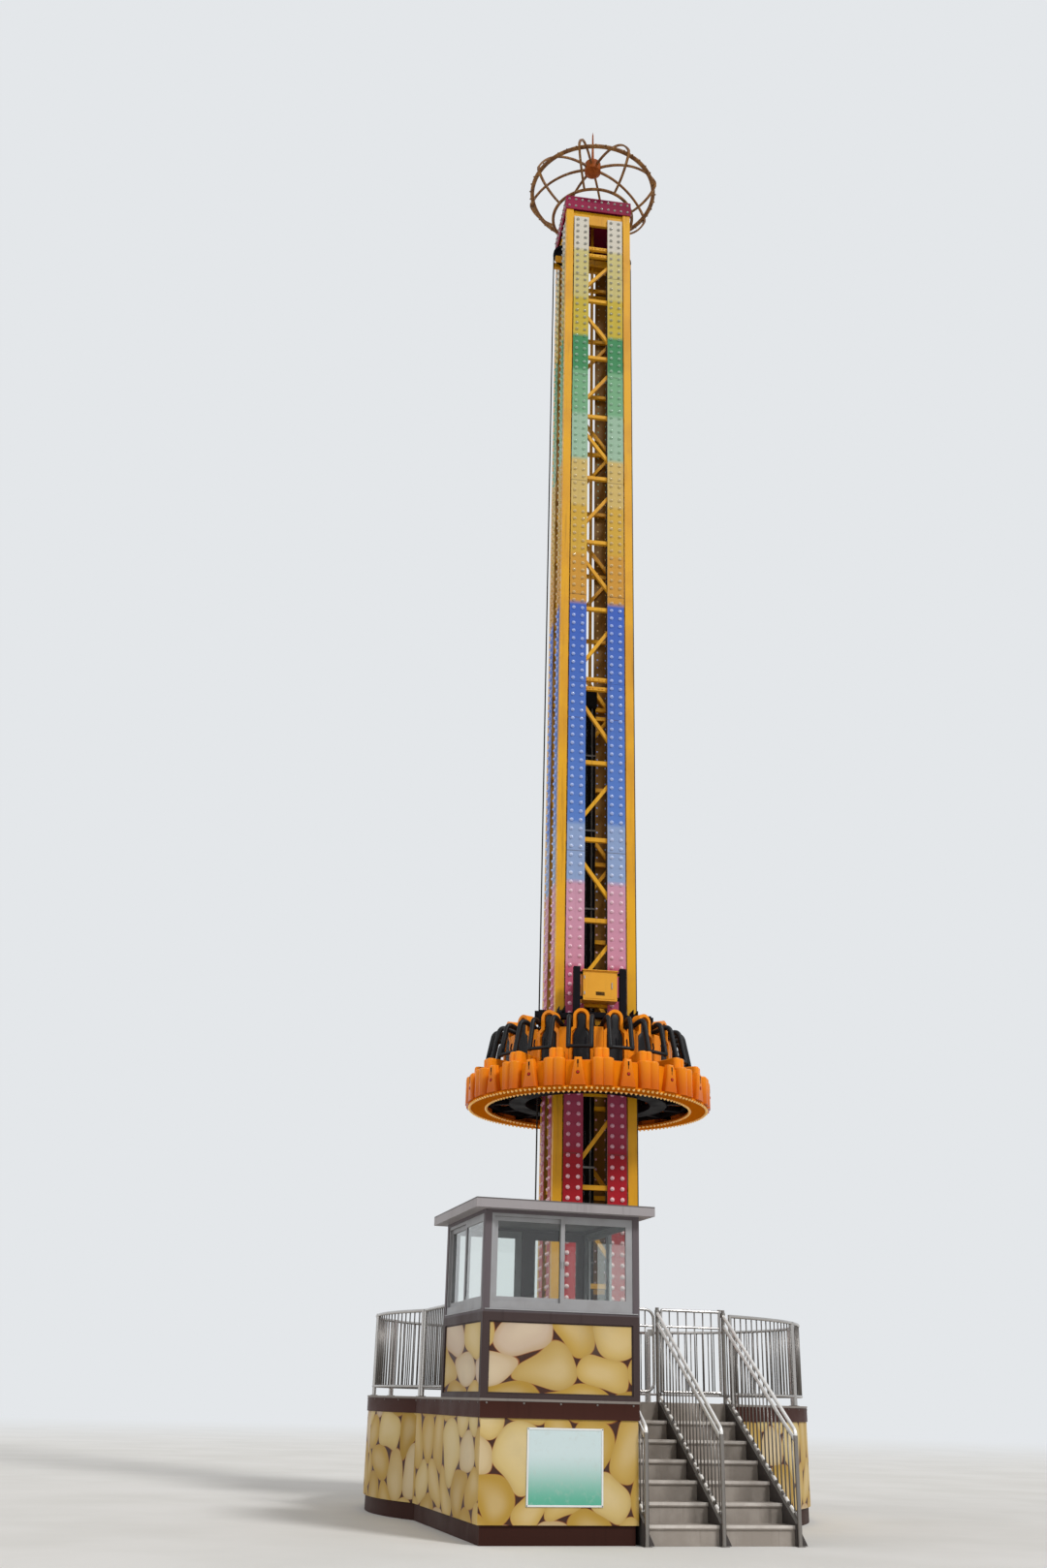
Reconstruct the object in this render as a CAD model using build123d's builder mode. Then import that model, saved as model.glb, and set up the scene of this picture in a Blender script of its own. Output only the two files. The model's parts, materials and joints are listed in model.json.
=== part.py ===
"""Rotating tower ride: a lattice mast with a lifting ring of outward-facing seats,
on a round boarding platform with a control booth and a double stair.

Origin at the middle of the mast on the ground, +Z up, the booth and stairs towards -Y.
All sizes are in millimetres, and the ring of seats stands part way up, as at rest.
"""

from build123d import *
import os
from math import acos, asin, atan2, ceil, cos, degrees, hypot, radians, sin, sqrt, tan

os.makedirs("parts", exist_ok=True)

# Clearances that several pieces share
SEAT_GAP = 0.3  # between a piece and what it rests on or runs in
JOINT_GAP = 2.0  # between neighbouring panels and segments
RUNNING_GAP = 25.0  # between the turning ring and the carriage inside it

# Mast
MAST_TURN = -7.5  # degrees that the mast stands turned from the platform
MAST_WIDTH = 1300.0
COLUMN = 140.0
MAST_TOP = 24000.0
CAP_PLATE = 40.0
BASE_PLATE = 40.0
BASE_WIDTH = 1900.0
BASE_OPENING = 900.0
TIE_LAP = 135.0  # how far each tie runs onto the base plate
DUCT = 50.0  # cable duct up the mast's middle
ANCHOR_CIRCLE = 2400.0
ANCHOR_HOLE = 40.0
BAR = 70.0  # lattice bar seen from outside
BAR_DEPTH = 60.0
DIAGONAL = 60.0
BAY = 1400.0
UPPER_FIRST = 14400.0
UPPER_BAYS = 6
LOWER_FIRST = 11400.0
LOWER_BAYS = 8
SPLICE = 12900.0  # where the two mast sections are bolted together
HEAD_SPLICE = 22650.0
SPLICE_PITCH = 180.0

# Light strips
STRIP_WIDTH = 300.0
STRIP_DEPTH = 40.0
STRIP_SKIN = 8.0
STRIP_INSET = 20.0
STRIP_BOTTOM = 1500.0
STRIP_TOP = 23500.0

# Mast head
BAND_HEIGHT = 330.0
BAND_SKIN = 20.0
HEADER_HEIGHT = 320.0
SHEAVE_BEAM_WIDTH = 60.0
SHEAVE_BEAM_HEIGHT = 120.0
SHEAVE_BEAM_LENGTH = 1560.0
SHEAVE_BEAM_OFFSET = 100.0
ROPE = 24.0
ROPE_OUTSET = 150.0  # outer run of the rope, beyond the mast's side
SHEAVE_PITCH = 250.0
SHEAVE_RISE = 145.0  # sheave centre above its beam
SHEAVE_WIDTH = 60.0
SHAFT = 80.0
BASE_SHEAVE_HEIGHT = 460.0
BEARING = 160.0

# Crown
HOOP_RADIUS = 820.0
HOOP_HEIGHT = 24110.0
HOOP_BAR = 60.0
BIG_RING_RADIUS = 1270.0
BIG_RING_HEIGHT = 24800.0
BIG_RING_BAR = 80.0
RIB_COUNT = 8
RIB = 44.0
RIB_SWELL_LOW = 70.0
RIB_SWELL_HIGH = 230.0
HUB_RADIUS = 170.0
HUB_HEIGHT = 25500.0
HUB_DEPTH = 150.0
ROD_TOP = 26600.0
ROD = 30.0

# Platform
DECK_HEIGHT = 1460.0
DECK_PLATE = 40.0
DECK_RADIUS = 3170.0
DECK_HOLE = 980.0
RIM_HEIGHT = 200.0
RIM = 60.0
RIM_LIP = 6.0  # how far the lip along the top stands proud of the fascia
RIM_LIP_HEIGHT = 25.0
WALL = 60.0
WALL_INSET = 20.0
PLINTH_HEIGHT = 200.0
PLINTH_INSET = 50.0
WALL_PANELS = 12
BLOCK_LEFT = -2830.0
BLOCK_RIGHT = -940.0
BLOCK_FRONT = -4850.0
JOIST = 80.0
JOIST_POSTS_INSET = 200.0
INNER_JOIST = 1150.0

# Stairs
STAIR_LEFT = -940.0
STAIR_RIGHT = 960.0
STAIR_BACK = -2950.0
RISERS = 7
TREAD = 40.0
RISER = 25.0
NOSING = 20.0
STRINGER = 50.0
STRINGER_INSET = 10.0  # from the booth's block to the left stringer
STRINGER_ABOVE = 60.0
STRINGER_BELOW = 350.0
POST = 50.0
HANDRAIL = 44.0
HANDRAIL_HEIGHT = 1060.0
SECOND_RAIL_DROP = 130.0
STAIR_FOOT_RAIL = 110.0
BALUSTER = 16.0
BALUSTER_PITCH = 105.0

# Deck fence
FENCE_RADIUS = 3100.0
FENCE_HEIGHT = 1090.0
FENCE_RAIL = 44.0
FENCE_FOOT_RAIL = 100.0
FENCE_PANELS = 9
FENCE_BALUSTERS = 14

# Gates
GATE_CLEAR = 10.0
GATE_TUBE = 36.0
GATE_BOTTOM = 110.0
GATE_TOP = 1130.0
GATE_SECOND_DROP = 200.0
GATE_BALUSTERS = 6
PIVOT = 12.0

# Booth
BOOTH_BACK = -2900.0
BOOTH_POST = 80.0
BOOTH_TOP = 3490.0
SILL_RAIL = 50.0
PANEL_TOP = 2270.0
BAND_TOP = 2400.0
WINDOW_TOP = 3450.0
BOOTH_SKIN = 40.0
WINDOW_FRAME = 35.0
WINDOW_SILL = 85.0
SASH = 50.0
SASH_DEPTH = 30.0
GLASS = 6.0
ROOF_EDGE = 110.0
ROOF_OVERHANG = 150.0
ROOF_CAMBER = 60.0
DOOR_WIDTH = 760.0
DOOR_LEAF = 40.0
DOOR_STILE = 90.0

# Carriage, as it stands at rest
RING_BOTTOM = 5650.0  # lowest edge of the seats' skirt
CARRIAGE_INNER = 985.0
CARRIAGE_OUTER = 1100.0
CARRIAGE_BEAM = 100.0
CARRIAGE_LIFT = 80.0  # carriage beam above the skirt's edge
BEARING_LEDGE = 15.0
BEARING_REACH = 1240.0
UPPER_BEAM_TOP = 6960.0
UPPER_BEAM = 80.0
CARRIAGE_POSTS = 8
CARRIAGE_POST = 90.0
UPRIGHT = 100.0
UPRIGHT_SPACING = 730.0
UPRIGHT_TOP = 7700.0
UPRIGHT_FRONT = 1013.0
CABINET_WIDTH = 540.0
CABINET_BOTTOM = 7170.0
CABINET_TOP = 7640.0
CABINET_DEPTH = 230.0
DRIP_ROOF = 12.0
DRIP_SIDE = 15.0
DRIP_FRONT = 30.0
CABINET_RAIL = 40.0
CABINET_RAIL_INSET = 20.0  # rails from the cabinet's top and bottom edges
CABINET_RAIL_SETBACK = 30.0
ROLLER = 50.0
ROLLER_WIDTH = 70.0
ROLLER_AXLE = 16.0
CHEEK = 12.0
CHEEK_HEIGHT = 110.0

# Ring of seats
SEATS = 16
SEAT_HALF = 190.0
FRAME_DEPTH = 84.0
SPOKE = 70.0
FRAME_OUTER = 1790.0
HOOP_INNER = 1540.0
SKIRT_INNER = 1580.0
SKIRT_OUTER = 1880.0
SKIRT_WALL = 1820.0
SKIRT_SKIN = 25.0
SKIRT_TOP = 6045.0
PAN_TOP = 6070.0
BACK_FACE = 1290.0
BACK_SHELL = 110.0
BOLSTER = 50.0
BOLSTER_WIDTH = 45.0
SHOULDER = 6620.0
HEADREST_TOP = 6960.0
HEADREST_WIDTH = 250.0
SHOULDER_RISE = 60.0
ARM_INNER = 1350.0
ARM_OUTER = 1925.0
ARM_SHOULDER = 6095.0
ARM_TOP = 6265.0
ARM_CAP_OUTER = 1800.0
ARM_CAP_INSET = 40.0
ARM_BACK = 1215.0
ARM_HEAD = 6680.0
ARM_ROUND = 28.0
LOBE_GROOVE = 45.0  # degrees: a larger angle makes the groove between two lobes shallower
POMMEL_FOOT = 245.0
POMMEL_HEAD = 104.0
POMMEL_TOP = 6090.0
POMMEL_OUTER = 1920.0
POMMEL_ROUND = 40.0
PAD_POCKET = 30.0
PAD_RISE = 18.0
PAD_WIDTH = 310.0
PAD_LENGTH = 340.0
BACK_PAD = 34.0

# Shoulder restraints
BARREL = 25.0
BARREL_RADIUS = 1150.0
BARREL_HEIGHT = 6720.0
ARM_SPACING = 344.0
ARM_BAR = 84.0
ARM_REACH = 1500.0
ARM_LAP = 1610.0
ARM_RISE = 6830.0
LAP_HEIGHT = 6290.0
ARM_BAR_WIDTH = 76.0
ARM_BEND = 110.0
LAP_BAR = 50.0
LEDGE_HALF = 110.0
LEDGE_DEPTH = 60.0

# Worked out from the sizes above
HALF = MAST_WIDTH / 2
COLUMN_PLACE = MAST_WIDTH - COLUMN
BETWEEN = MAST_WIDTH - 2 * COLUMN
LATTICE_FACE = HALF - STRIP_DEPTH
BAND_BOTTOM = MAST_TOP - BAND_HEIGHT
HEADER_BOTTOM = BAND_BOTTOM - HEADER_HEIGHT
BEAM_SEAT = HEAD_SPLICE + SPLICE_PITCH / 2 + BAR / 2
BEAM_TOP = BEAM_SEAT + SHEAVE_BEAM_HEIGHT
SHEAVE_HEIGHT = BEAM_TOP + SHEAVE_RISE
SHEAVE_X = HALF + ROPE_OUTSET - SHEAVE_PITCH
STRIP_PLACE = HALF - COLUMN - STRIP_INSET - STRIP_WIDTH / 2
SLOPE_RUN = STAIR_BACK - BLOCK_FRONT
RISE = DECK_HEIGHT / RISERS
GOING = SLOPE_RUN / (RISERS - 1)
LEFT_MEET = 180 + degrees(acos(-BLOCK_LEFT / DECK_RADIUS))
RIGHT_MEET = -degrees(acos(STAIR_RIGHT / DECK_RADIUS))
WALL_SWEEP = LEFT_MEET - RIGHT_MEET
RIM_BOTTOM = DECK_HEIGHT - RIM_HEIGHT
CARRIAGE_BOTTOM = RING_BOTTOM + CARRIAGE_LIFT
CARRIAGE_TOP = CARRIAGE_BOTTOM + CARRIAGE_BEAM
FRAME_BOTTOM = CARRIAGE_BOTTOM + BEARING_LEDGE + SEAT_GAP
FRAME_TOP = FRAME_BOTTOM + FRAME_DEPTH
FRAME_INNER = CARRIAGE_OUTER + RUNNING_GAP
SEAT_PITCH = 360 / SEATS
ARM_FOOT = RING_BOTTOM + SKIRT_SKIN + SEAT_GAP
PAN_FRONT = sqrt((SKIRT_WALL - SKIRT_SKIN) ** 2 - SEAT_HALF**2) - SEAT_GAP
PAD_MIDDLE = BACK_FACE + BOLSTER + 2 * JOINT_GAP + PAD_LENGTH / 2
RAIL_MIDDLE = (STAIR_LEFT + STAIR_RIGHT) / 2
STRINGER_PLACES = {
    "left": STAIR_LEFT + STRINGER_INSET + STRINGER / 2,
    "middle": RAIL_MIDDLE,
    "right": STAIR_RIGHT - STRINGER / 2,
}


def turned(angle):
    """The direction along +X after a turn about the vertical, and the one along +Y."""
    a = radians(angle)
    return Vector(cos(a), sin(a), 0), Vector(-sin(a), cos(a), 0)


MAST_X, MAST_Y = turned(MAST_TURN)
MAST_PLAN = Plane(origin=(0, 0, 0), x_dir=MAST_X, z_dir=(0, 0, 1))


def plan(height):
    """The level plane of the platform at a height."""
    return Plane.XY.offset(height)


def mast_plan(height):
    """The level plane at a height, turned as the mast is."""
    return MAST_PLAN.offset(height)


def face_plane(turn, distance):
    """Upright plane looking out of one side of the mast, its local Y upwards."""
    along, inward = turned(MAST_TURN + turn)
    return Plane(origin=inward * -distance, x_dir=along, z_dir=inward * -1)


def side_plane(x):
    """Upright plane across the platform at one X, local X towards +Y, local Y up."""
    return Plane(origin=(x, 0, 0), x_dir=(0, 1, 0), z_dir=(1, 0, 0))


def seat_face(seat, radius):
    """Upright plane facing out of the ring at one seat, its local Y upwards."""
    out, along = turned(seat * SEAT_PITCH)
    return Plane(origin=out * radius, x_dir=along, z_dir=out)


def seat_section(seat, offset):
    """Upright plane through one seat: local X outwards, local Y up, beside its middle."""
    out, along = turned(seat * SEAT_PITCH)
    return Plane(origin=along * offset, x_dir=out, z_dir=along * -1)


def seat_plan(seat, height):
    """Level plane at one seat: local X outwards."""
    out = turned(seat * SEAT_PITCH)[0]
    return Plane(origin=(0, 0, height), x_dir=out, z_dir=(0, 0, 1))


def polar(radius, angle):
    """The point at a radius and an angle from +X."""
    return radius * cos(radians(angle)), radius * sin(radians(angle))


def sector(inner, outer, start, sweep):
    """Face between two radii, from one angle through a sweep."""
    with BuildLine() as edge:
        CenterArc((0, 0), outer, start, sweep)
        CenterArc((0, 0), inner, start, sweep)
        for angle in (start, start + sweep):
            Line(polar(inner, angle), polar(outer, angle))
    make_face(edge.edges())


def slab(x_range, y_range):
    """Rectangle between two X values and two Y values."""
    with Locations(((x_range[0] + x_range[1]) / 2, (y_range[0] + y_range[1]) / 2)):
        Rectangle(x_range[1] - x_range[0], y_range[1] - y_range[0])


def outline(points):
    """Closed face through a few corner points."""
    Polygon(*points, align=None)


# Mast base: anchored plate with the cheeks that hold the lower sheaves
with BuildPart() as mast_base:
    with BuildSketch(MAST_PLAN):
        Rectangle(BASE_WIDTH, BASE_WIDTH)
        Rectangle(BASE_OPENING, BASE_OPENING, mode=Mode.SUBTRACT)
        with PolarLocations(ANCHOR_CIRCLE / 2, 4, start_angle=45):
            Circle(ANCHOR_HOLE / 2, mode=Mode.SUBTRACT)
    extrude(amount=BASE_PLATE)
    with BuildSketch(plan(0)):
        for side in (-1, 1):
            tie = (
                side * (BASE_OPENING / 2 + TIE_LAP),
                side * (INNER_JOIST - JOIST / 2 - SEAT_GAP),
            )
            slab((min(tie), max(tie)), (-JOIST / 2, JOIST / 2))
    extrude(amount=BASE_PLATE)
    with BuildSketch(mast_plan(BASE_PLATE)):
        with Locations((-SHEAVE_X, 0), (SHEAVE_X, 0)):
            with GridLocations(0, 2 * SHEAVE_BEAM_OFFSET, 1, 2):
                Rectangle(BEARING, SHEAVE_BEAM_WIDTH)
    extrude(amount=BASE_SHEAVE_HEIGHT - BASE_PLATE + BEARING / 2)
    with BuildSketch(face_plane(0, BASE_WIDTH / 2)):
        with Locations((-SHEAVE_X, BASE_SHEAVE_HEIGHT), (SHEAVE_X, BASE_SHEAVE_HEIGHT)):
            Circle(SHAFT / 2 + SEAT_GAP)
    extrude(amount=-BASE_WIDTH, mode=Mode.SUBTRACT)
mast_base.part.label = "mast_base"
export_step(mast_base.part, "parts/mast_base.step")

# Mast columns: four square legs, and the cable duct that hangs from the cap plate
with BuildPart() as mast_columns:
    with BuildSketch(mast_plan(BASE_PLATE)):
        with GridLocations(COLUMN_PLACE, COLUMN_PLACE, 2, 2):
            Rectangle(COLUMN, COLUMN)
    extrude(amount=MAST_TOP - CAP_PLATE - BASE_PLATE)
    with BuildSketch(mast_plan(0)):
        Rectangle(DUCT, DUCT)
    extrude(amount=MAST_TOP - CAP_PLATE)
mast_columns.part.label = "mast_columns"
export_step(mast_columns.part, "parts/mast_columns.step")


def lattice_levels():
    """Heights of the cross bars, from the foot up, with the splices as one level each."""
    lower = [LOWER_FIRST - BAY * i for i in reversed(range(LOWER_BAYS))]
    upper = [UPPER_FIRST + BAY * i for i in range(UPPER_BAYS)]
    return lower + [SPLICE] + upper + [HEAD_SPLICE]


def lattice_side(turn, first_rises_right):
    """One flat side of the mast: cross bars and a single diagonal in each bay."""
    levels = lattice_levels()
    with BuildPart() as side:
        with BuildSketch(face_plane(turn, LATTICE_FACE)):
            for low, high in zip(levels, levels[1:]):
                bays_below_head = len(levels) - 2 - levels.index(low)
                rises_right = (bays_below_head % 2 == 0) == first_rises_right
                lean = degrees(atan2(high - low, BETWEEN if rises_right else -BETWEEN))
                with Locations((0, (low + high) / 2)):
                    Rectangle(hypot(BETWEEN, high - low), DIAGONAL, rotation=lean)
            height = levels[-1] - levels[0]
            with Locations((0, levels[0] + height / 2)):
                Rectangle(BETWEEN, height, mode=Mode.INTERSECT)
            for level in levels:
                double = level in (SPLICE, HEAD_SPLICE)
                with Locations((0, level)):
                    with GridLocations(0, SPLICE_PITCH, 1, 2 if double else 1):
                        Rectangle(BETWEEN, BAR)
        extrude(amount=-BAR_DEPTH)
    return side


mast_lattice_front = lattice_side(0, True)
mast_lattice_front.part.label = "mast_lattice_front"
export_step(mast_lattice_front.part, "parts/mast_lattice_front.step")
mast_lattice_right = lattice_side(90, False)
mast_lattice_right.part.label = "mast_lattice_right"
export_step(mast_lattice_right.part, "parts/mast_lattice_right.step")
mast_lattice_back = lattice_side(180, True)
mast_lattice_back.part.label = "mast_lattice_back"
export_step(mast_lattice_back.part, "parts/mast_lattice_back.step")
mast_lattice_left = lattice_side(270, False)
mast_lattice_left.part.label = "mast_lattice_left"
export_step(mast_lattice_left.part, "parts/mast_lattice_left.step")

# Light strips: folded trays, two on each side, in two lengths
with BuildPart() as light_strips:
    for low, high in ((STRIP_BOTTOM, SPLICE - JOINT_GAP), (SPLICE + JOINT_GAP, STRIP_TOP)):
        for turn in (0, 90, 180, 270):
            out = turned(MAST_TURN + turn)[0]
            with BuildSketch(Plane(origin=(0, 0, low), x_dir=out, z_dir=(0, 0, 1))):
                with Locations((-STRIP_PLACE, -HALF), (STRIP_PLACE, -HALF)):
                    Rectangle(STRIP_WIDTH, STRIP_DEPTH, align=(Align.CENTER, Align.MIN))
                with Locations((-STRIP_PLACE, -HALF + STRIP_SKIN), (STRIP_PLACE, -HALF + STRIP_SKIN)):
                    Rectangle(
                        STRIP_WIDTH - 2 * STRIP_SKIN,
                        STRIP_DEPTH - STRIP_SKIN,
                        align=(Align.CENTER, Align.MIN),
                        mode=Mode.SUBTRACT,
                    )
            extrude(amount=high - low)
light_strips.part.label = "light_strips"
export_step(light_strips.part, "parts/light_strips.step")

# Crown band: the box that caps the mast
with BuildPart() as crown_band:
    with BuildSketch(mast_plan(BAND_BOTTOM)):
        Rectangle(MAST_WIDTH + 2 * BAND_SKIN, MAST_WIDTH + 2 * BAND_SKIN)
        Rectangle(MAST_WIDTH, MAST_WIDTH, mode=Mode.SUBTRACT)
    extrude(amount=BAND_HEIGHT)
    with BuildSketch(mast_plan(MAST_TOP - CAP_PLATE)):
        Rectangle(MAST_WIDTH + BAND_SKIN, MAST_WIDTH + BAND_SKIN)
    extrude(amount=CAP_PLATE)
crown_band.part.label = "crown_band"
export_step(crown_band.part, "parts/crown_band.step")

# Mast head: header beams between the columns, and the two beams under the sheaves
with BuildPart() as mast_head:
    with BuildSketch(mast_plan(HEADER_BOTTOM)):
        for turn in (0, 90, 180, 270):
            with Locations(Location((0, 0, 0), (0, 0, turn))):
                with Locations((0, -LATTICE_FACE + BAR_DEPTH / 2)):
                    Rectangle(BETWEEN, BAR_DEPTH)
    extrude(amount=HEADER_HEIGHT)
    with BuildSketch(mast_plan(BEAM_SEAT)):
        with GridLocations(0, 2 * SHEAVE_BEAM_OFFSET, 1, 2):
            Rectangle(SHEAVE_BEAM_LENGTH, SHEAVE_BEAM_WIDTH)
    extrude(amount=SHEAVE_BEAM_HEIGHT)
    with BuildSketch(mast_plan(BEAM_TOP)):
        with GridLocations(2 * SHEAVE_X, 2 * SHEAVE_BEAM_OFFSET, 2, 2):
            Rectangle(BEARING, SHEAVE_BEAM_WIDTH)
    extrude(amount=SHEAVE_RISE + BEARING / 2)
    with BuildSketch(face_plane(0, HALF / 2)):
        with Locations((-SHEAVE_X, SHEAVE_HEIGHT), (SHEAVE_X, SHEAVE_HEIGHT)):
            Circle(SHAFT / 2 + SEAT_GAP)
    extrude(amount=-HALF, mode=Mode.SUBTRACT)
mast_head.part.label = "mast_head"
export_step(mast_head.part, "parts/mast_head.step")


def sheave_profile():
    """Half section of a grooved sheave with its shaft, radius along X, shaft along Y."""
    half_shaft = SHEAVE_BEAM_OFFSET + SHEAVE_BEAM_WIDTH / 2
    half_rim = SHEAVE_WIDTH / 2
    groove = SHEAVE_PITCH - ROPE / 2 - SEAT_GAP
    rim = SHEAVE_PITCH + ROPE / 2
    half_groove = ROPE / 2 + SEAT_GAP
    web = half_rim / 3
    right = [
        (0, half_shaft),
        (SHAFT / 2, half_shaft),
        (SHAFT / 2, half_rim),
        (SHAFT, half_rim),
        (SHAFT, web),
        (groove - ROPE, web),
        (groove - ROPE, half_rim),
        (rim, half_rim),
        (rim, half_groove),
        (groove, half_groove),
    ]
    outline(right + [(radius, -y) for radius, y in reversed(right)])


def sheave_centres():
    """The middles of the four sheaves, two in the head and two in the base."""
    return [
        MAST_X * side * SHEAVE_X + Vector(0, 0, height)
        for side in (-1, 1)
        for height in (BASE_SHEAVE_HEIGHT, SHEAVE_HEIGHT)
    ]


# Rope sheaves: grooved wheels in the head and in the base
with BuildPart() as rope_sheaves:
    for centre in sheave_centres():
        with BuildSketch(Plane(origin=centre, x_dir=(0, 0, 1), z_dir=MAST_X * -1)):
            sheave_profile()
        revolve(axis=Axis(centre, MAST_Y))
rope_sheaves.part.label = "rope_sheaves"
export_step(rope_sheaves.part, "parts/rope_sheaves.step")

# Hoist ropes: one endless loop on each side, round the sheaves
with BuildPart() as hoist_ropes:
    for side in (-1, 1):
        with BuildSketch(mast_plan(BASE_SHEAVE_HEIGHT)):
            with Locations((side * (SHEAVE_X + SHEAVE_PITCH), 0), (side * (SHEAVE_X - SHEAVE_PITCH), 0)):
                Circle(ROPE / 2)
        extrude(amount=SHEAVE_HEIGHT - BASE_SHEAVE_HEIGHT)
        for height, half_turn in ((BASE_SHEAVE_HEIGHT, 180), (SHEAVE_HEIGHT, -180)):
            centre = MAST_X * side * SHEAVE_X + Vector(0, 0, height)
            with BuildSketch(mast_plan(height)):
                with Locations((side * SHEAVE_X - SHEAVE_PITCH, 0)):
                    Circle(ROPE / 2)
            revolve(axis=Axis(centre, MAST_Y), revolution_arc=-half_turn)
hoist_ropes.part.label = "hoist_ropes"
export_step(hoist_ropes.part, "parts/hoist_ropes.step")

# Crown rings: a hoop on four feet over the band, and the wide ring above it
with BuildPart() as crown_rings:
    for radius, height, bar in (
        (HOOP_RADIUS, HOOP_HEIGHT, HOOP_BAR),
        (BIG_RING_RADIUS, BIG_RING_HEIGHT, BIG_RING_BAR),
    ):
        with BuildSketch(Plane.XZ):
            with Locations((radius, height)):
                RegularPolygon(bar / 2, 8, major_radius=False, rotation=22.5)
        revolve(axis=Axis.Z)
    with BuildSketch(mast_plan(MAST_TOP)):
        with PolarLocations(HOOP_RADIUS, 4, start_angle=45):
            Rectangle(HOOP_BAR / 2, HOOP_BAR)
    extrude(amount=HOOP_HEIGHT - MAST_TOP)
crown_rings.part.label = "crown_rings"
export_step(crown_rings.part, "parts/crown_rings.step")


def rib_edge(foot, bulge, hub):
    """One side of a rib: out from the hoop, up past the wide ring and in to the hub."""
    below = BIG_RING_HEIGHT - BIG_RING_BAR / 2
    above = BIG_RING_HEIGHT + BIG_RING_BAR / 2
    low = SagittaArc(foot, (bulge, below), -RIB_SWELL_LOW)
    Line((bulge, below), (bulge, above))
    high = SagittaArc((bulge, above), hub, -RIB_SWELL_HIGH)
    return low @ 0, high @ 1


def rib_outline():
    """Side view of one bent rib, radius along X: a curved bar of even width."""
    seat = HOOP_HEIGHT + HOOP_BAR / 2 + SEAT_GAP
    bulge = BIG_RING_RADIUS + BIG_RING_BAR / 2 + SEAT_GAP
    hub = HUB_RADIUS + SEAT_GAP
    top = HUB_HEIGHT + HUB_DEPTH / 4
    with BuildLine() as edge:
        inner = rib_edge((HOOP_RADIUS - RIB / 2, seat), bulge, (hub, top - RIB / 2))
        outer = rib_edge((HOOP_RADIUS + RIB / 2, seat), bulge + RIB, (hub, top + RIB / 2))
        Line(inner[0], outer[0])
        Line(inner[1], outer[1])
    make_face(edge.edges())


# Crown ribs: eight bent bars from the hoop, out over the wide ring and in to the hub
with BuildPart() as crown_ribs:
    for rib in range(RIB_COUNT):
        out, along = turned(MAST_TURN + (rib + 0.5) * 360 / RIB_COUNT)
        with BuildSketch(Plane(origin=(0, 0, 0), x_dir=out, z_dir=along * -1)):
            rib_outline()
        extrude(amount=RIB / 2, both=True)
crown_ribs.part.label = "crown_ribs"
export_step(crown_ribs.part, "parts/crown_ribs.step")

# Crown hub: a turned boss with the lightning rod on it
with BuildPart() as crown_hub:
    with BuildSketch(Plane.XZ):
        outline(
            [
                (0, HUB_HEIGHT - HUB_DEPTH),
                (HUB_RADIUS / 2, HUB_HEIGHT - HUB_DEPTH),
                (HUB_RADIUS, HUB_HEIGHT - HUB_DEPTH / 2),
                (HUB_RADIUS, HUB_HEIGHT + HUB_DEPTH),
                (HUB_RADIUS / 2, HUB_HEIGHT + 1.5 * HUB_DEPTH),
                (ROD, HUB_HEIGHT + 1.7 * HUB_DEPTH),
                (ROD / 2, ROD_TOP - 4 * ROD),
                (0, ROD_TOP),
            ]
        )
    revolve(axis=Axis.Z)
crown_hub.part.label = "crown_hub"
export_step(crown_hub.part, "parts/crown_hub.step")


# Deck floor: plates on the frame, round the mast and under the booth
with BuildPart() as deck_floor:
    with BuildSketch(plan(DECK_HEIGHT - DECK_PLATE)):
        Circle(DECK_RADIUS - RIM)
        slab((BLOCK_LEFT + RIM, BLOCK_RIGHT - RIM), (BLOCK_FRONT + RIM, 0))
        with Locations((0, 0)):
            Circle(DECK_HOLE, mode=Mode.SUBTRACT)
        with Locations(((STAIR_LEFT + STAIR_RIGHT) / 2, (BLOCK_FRONT + STAIR_BACK + RIM) / 2)):
            Rectangle(
                STAIR_RIGHT - STAIR_LEFT + 2 * RIM,
                STAIR_BACK + RIM - BLOCK_FRONT,
                mode=Mode.SUBTRACT,
            )
        Rectangle(JOINT_GAP, 2 * DECK_RADIUS, mode=Mode.SUBTRACT)
        Rectangle(2 * DECK_RADIUS, JOINT_GAP, mode=Mode.SUBTRACT)
        with Locations((BLOCK_LEFT, STAIR_BACK)):
            Rectangle(2 * (BLOCK_RIGHT - BLOCK_LEFT), JOINT_GAP, mode=Mode.SUBTRACT)
    extrude(amount=DECK_PLATE)
deck_floor.part.label = "deck_floor"
export_step(deck_floor.part, "parts/deck_floor.step")


def straight_runs(inset, thickness):
    """Plans of the straight walls of the block: left, front, and beside the stairs."""
    left = BLOCK_LEFT + inset
    front = BLOCK_FRONT + inset
    right = BLOCK_RIGHT - inset
    meet = -sqrt((DECK_RADIUS - inset) ** 2 - left**2) - JOINT_GAP
    slab((left, left + thickness), (front + thickness + JOINT_GAP, meet))
    slab((left, right), (front, front + thickness))
    slab((right - thickness, right), (front + thickness + JOINT_GAP, STAIR_BACK))


def round_run(inset, thickness, count):
    """Plans of the round wall's panels, from the stairs round the back to the block."""
    outer = DECK_RADIUS - inset
    start = -degrees(acos(STAIR_RIGHT / (outer - thickness)))
    end = 180 + degrees(acos((-BLOCK_LEFT - inset) / outer))
    step = (end - start) / count
    gap = degrees(JOINT_GAP / outer)
    for panel in range(count):
        sector(outer - thickness, outer, start + panel * step, step - gap)


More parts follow.
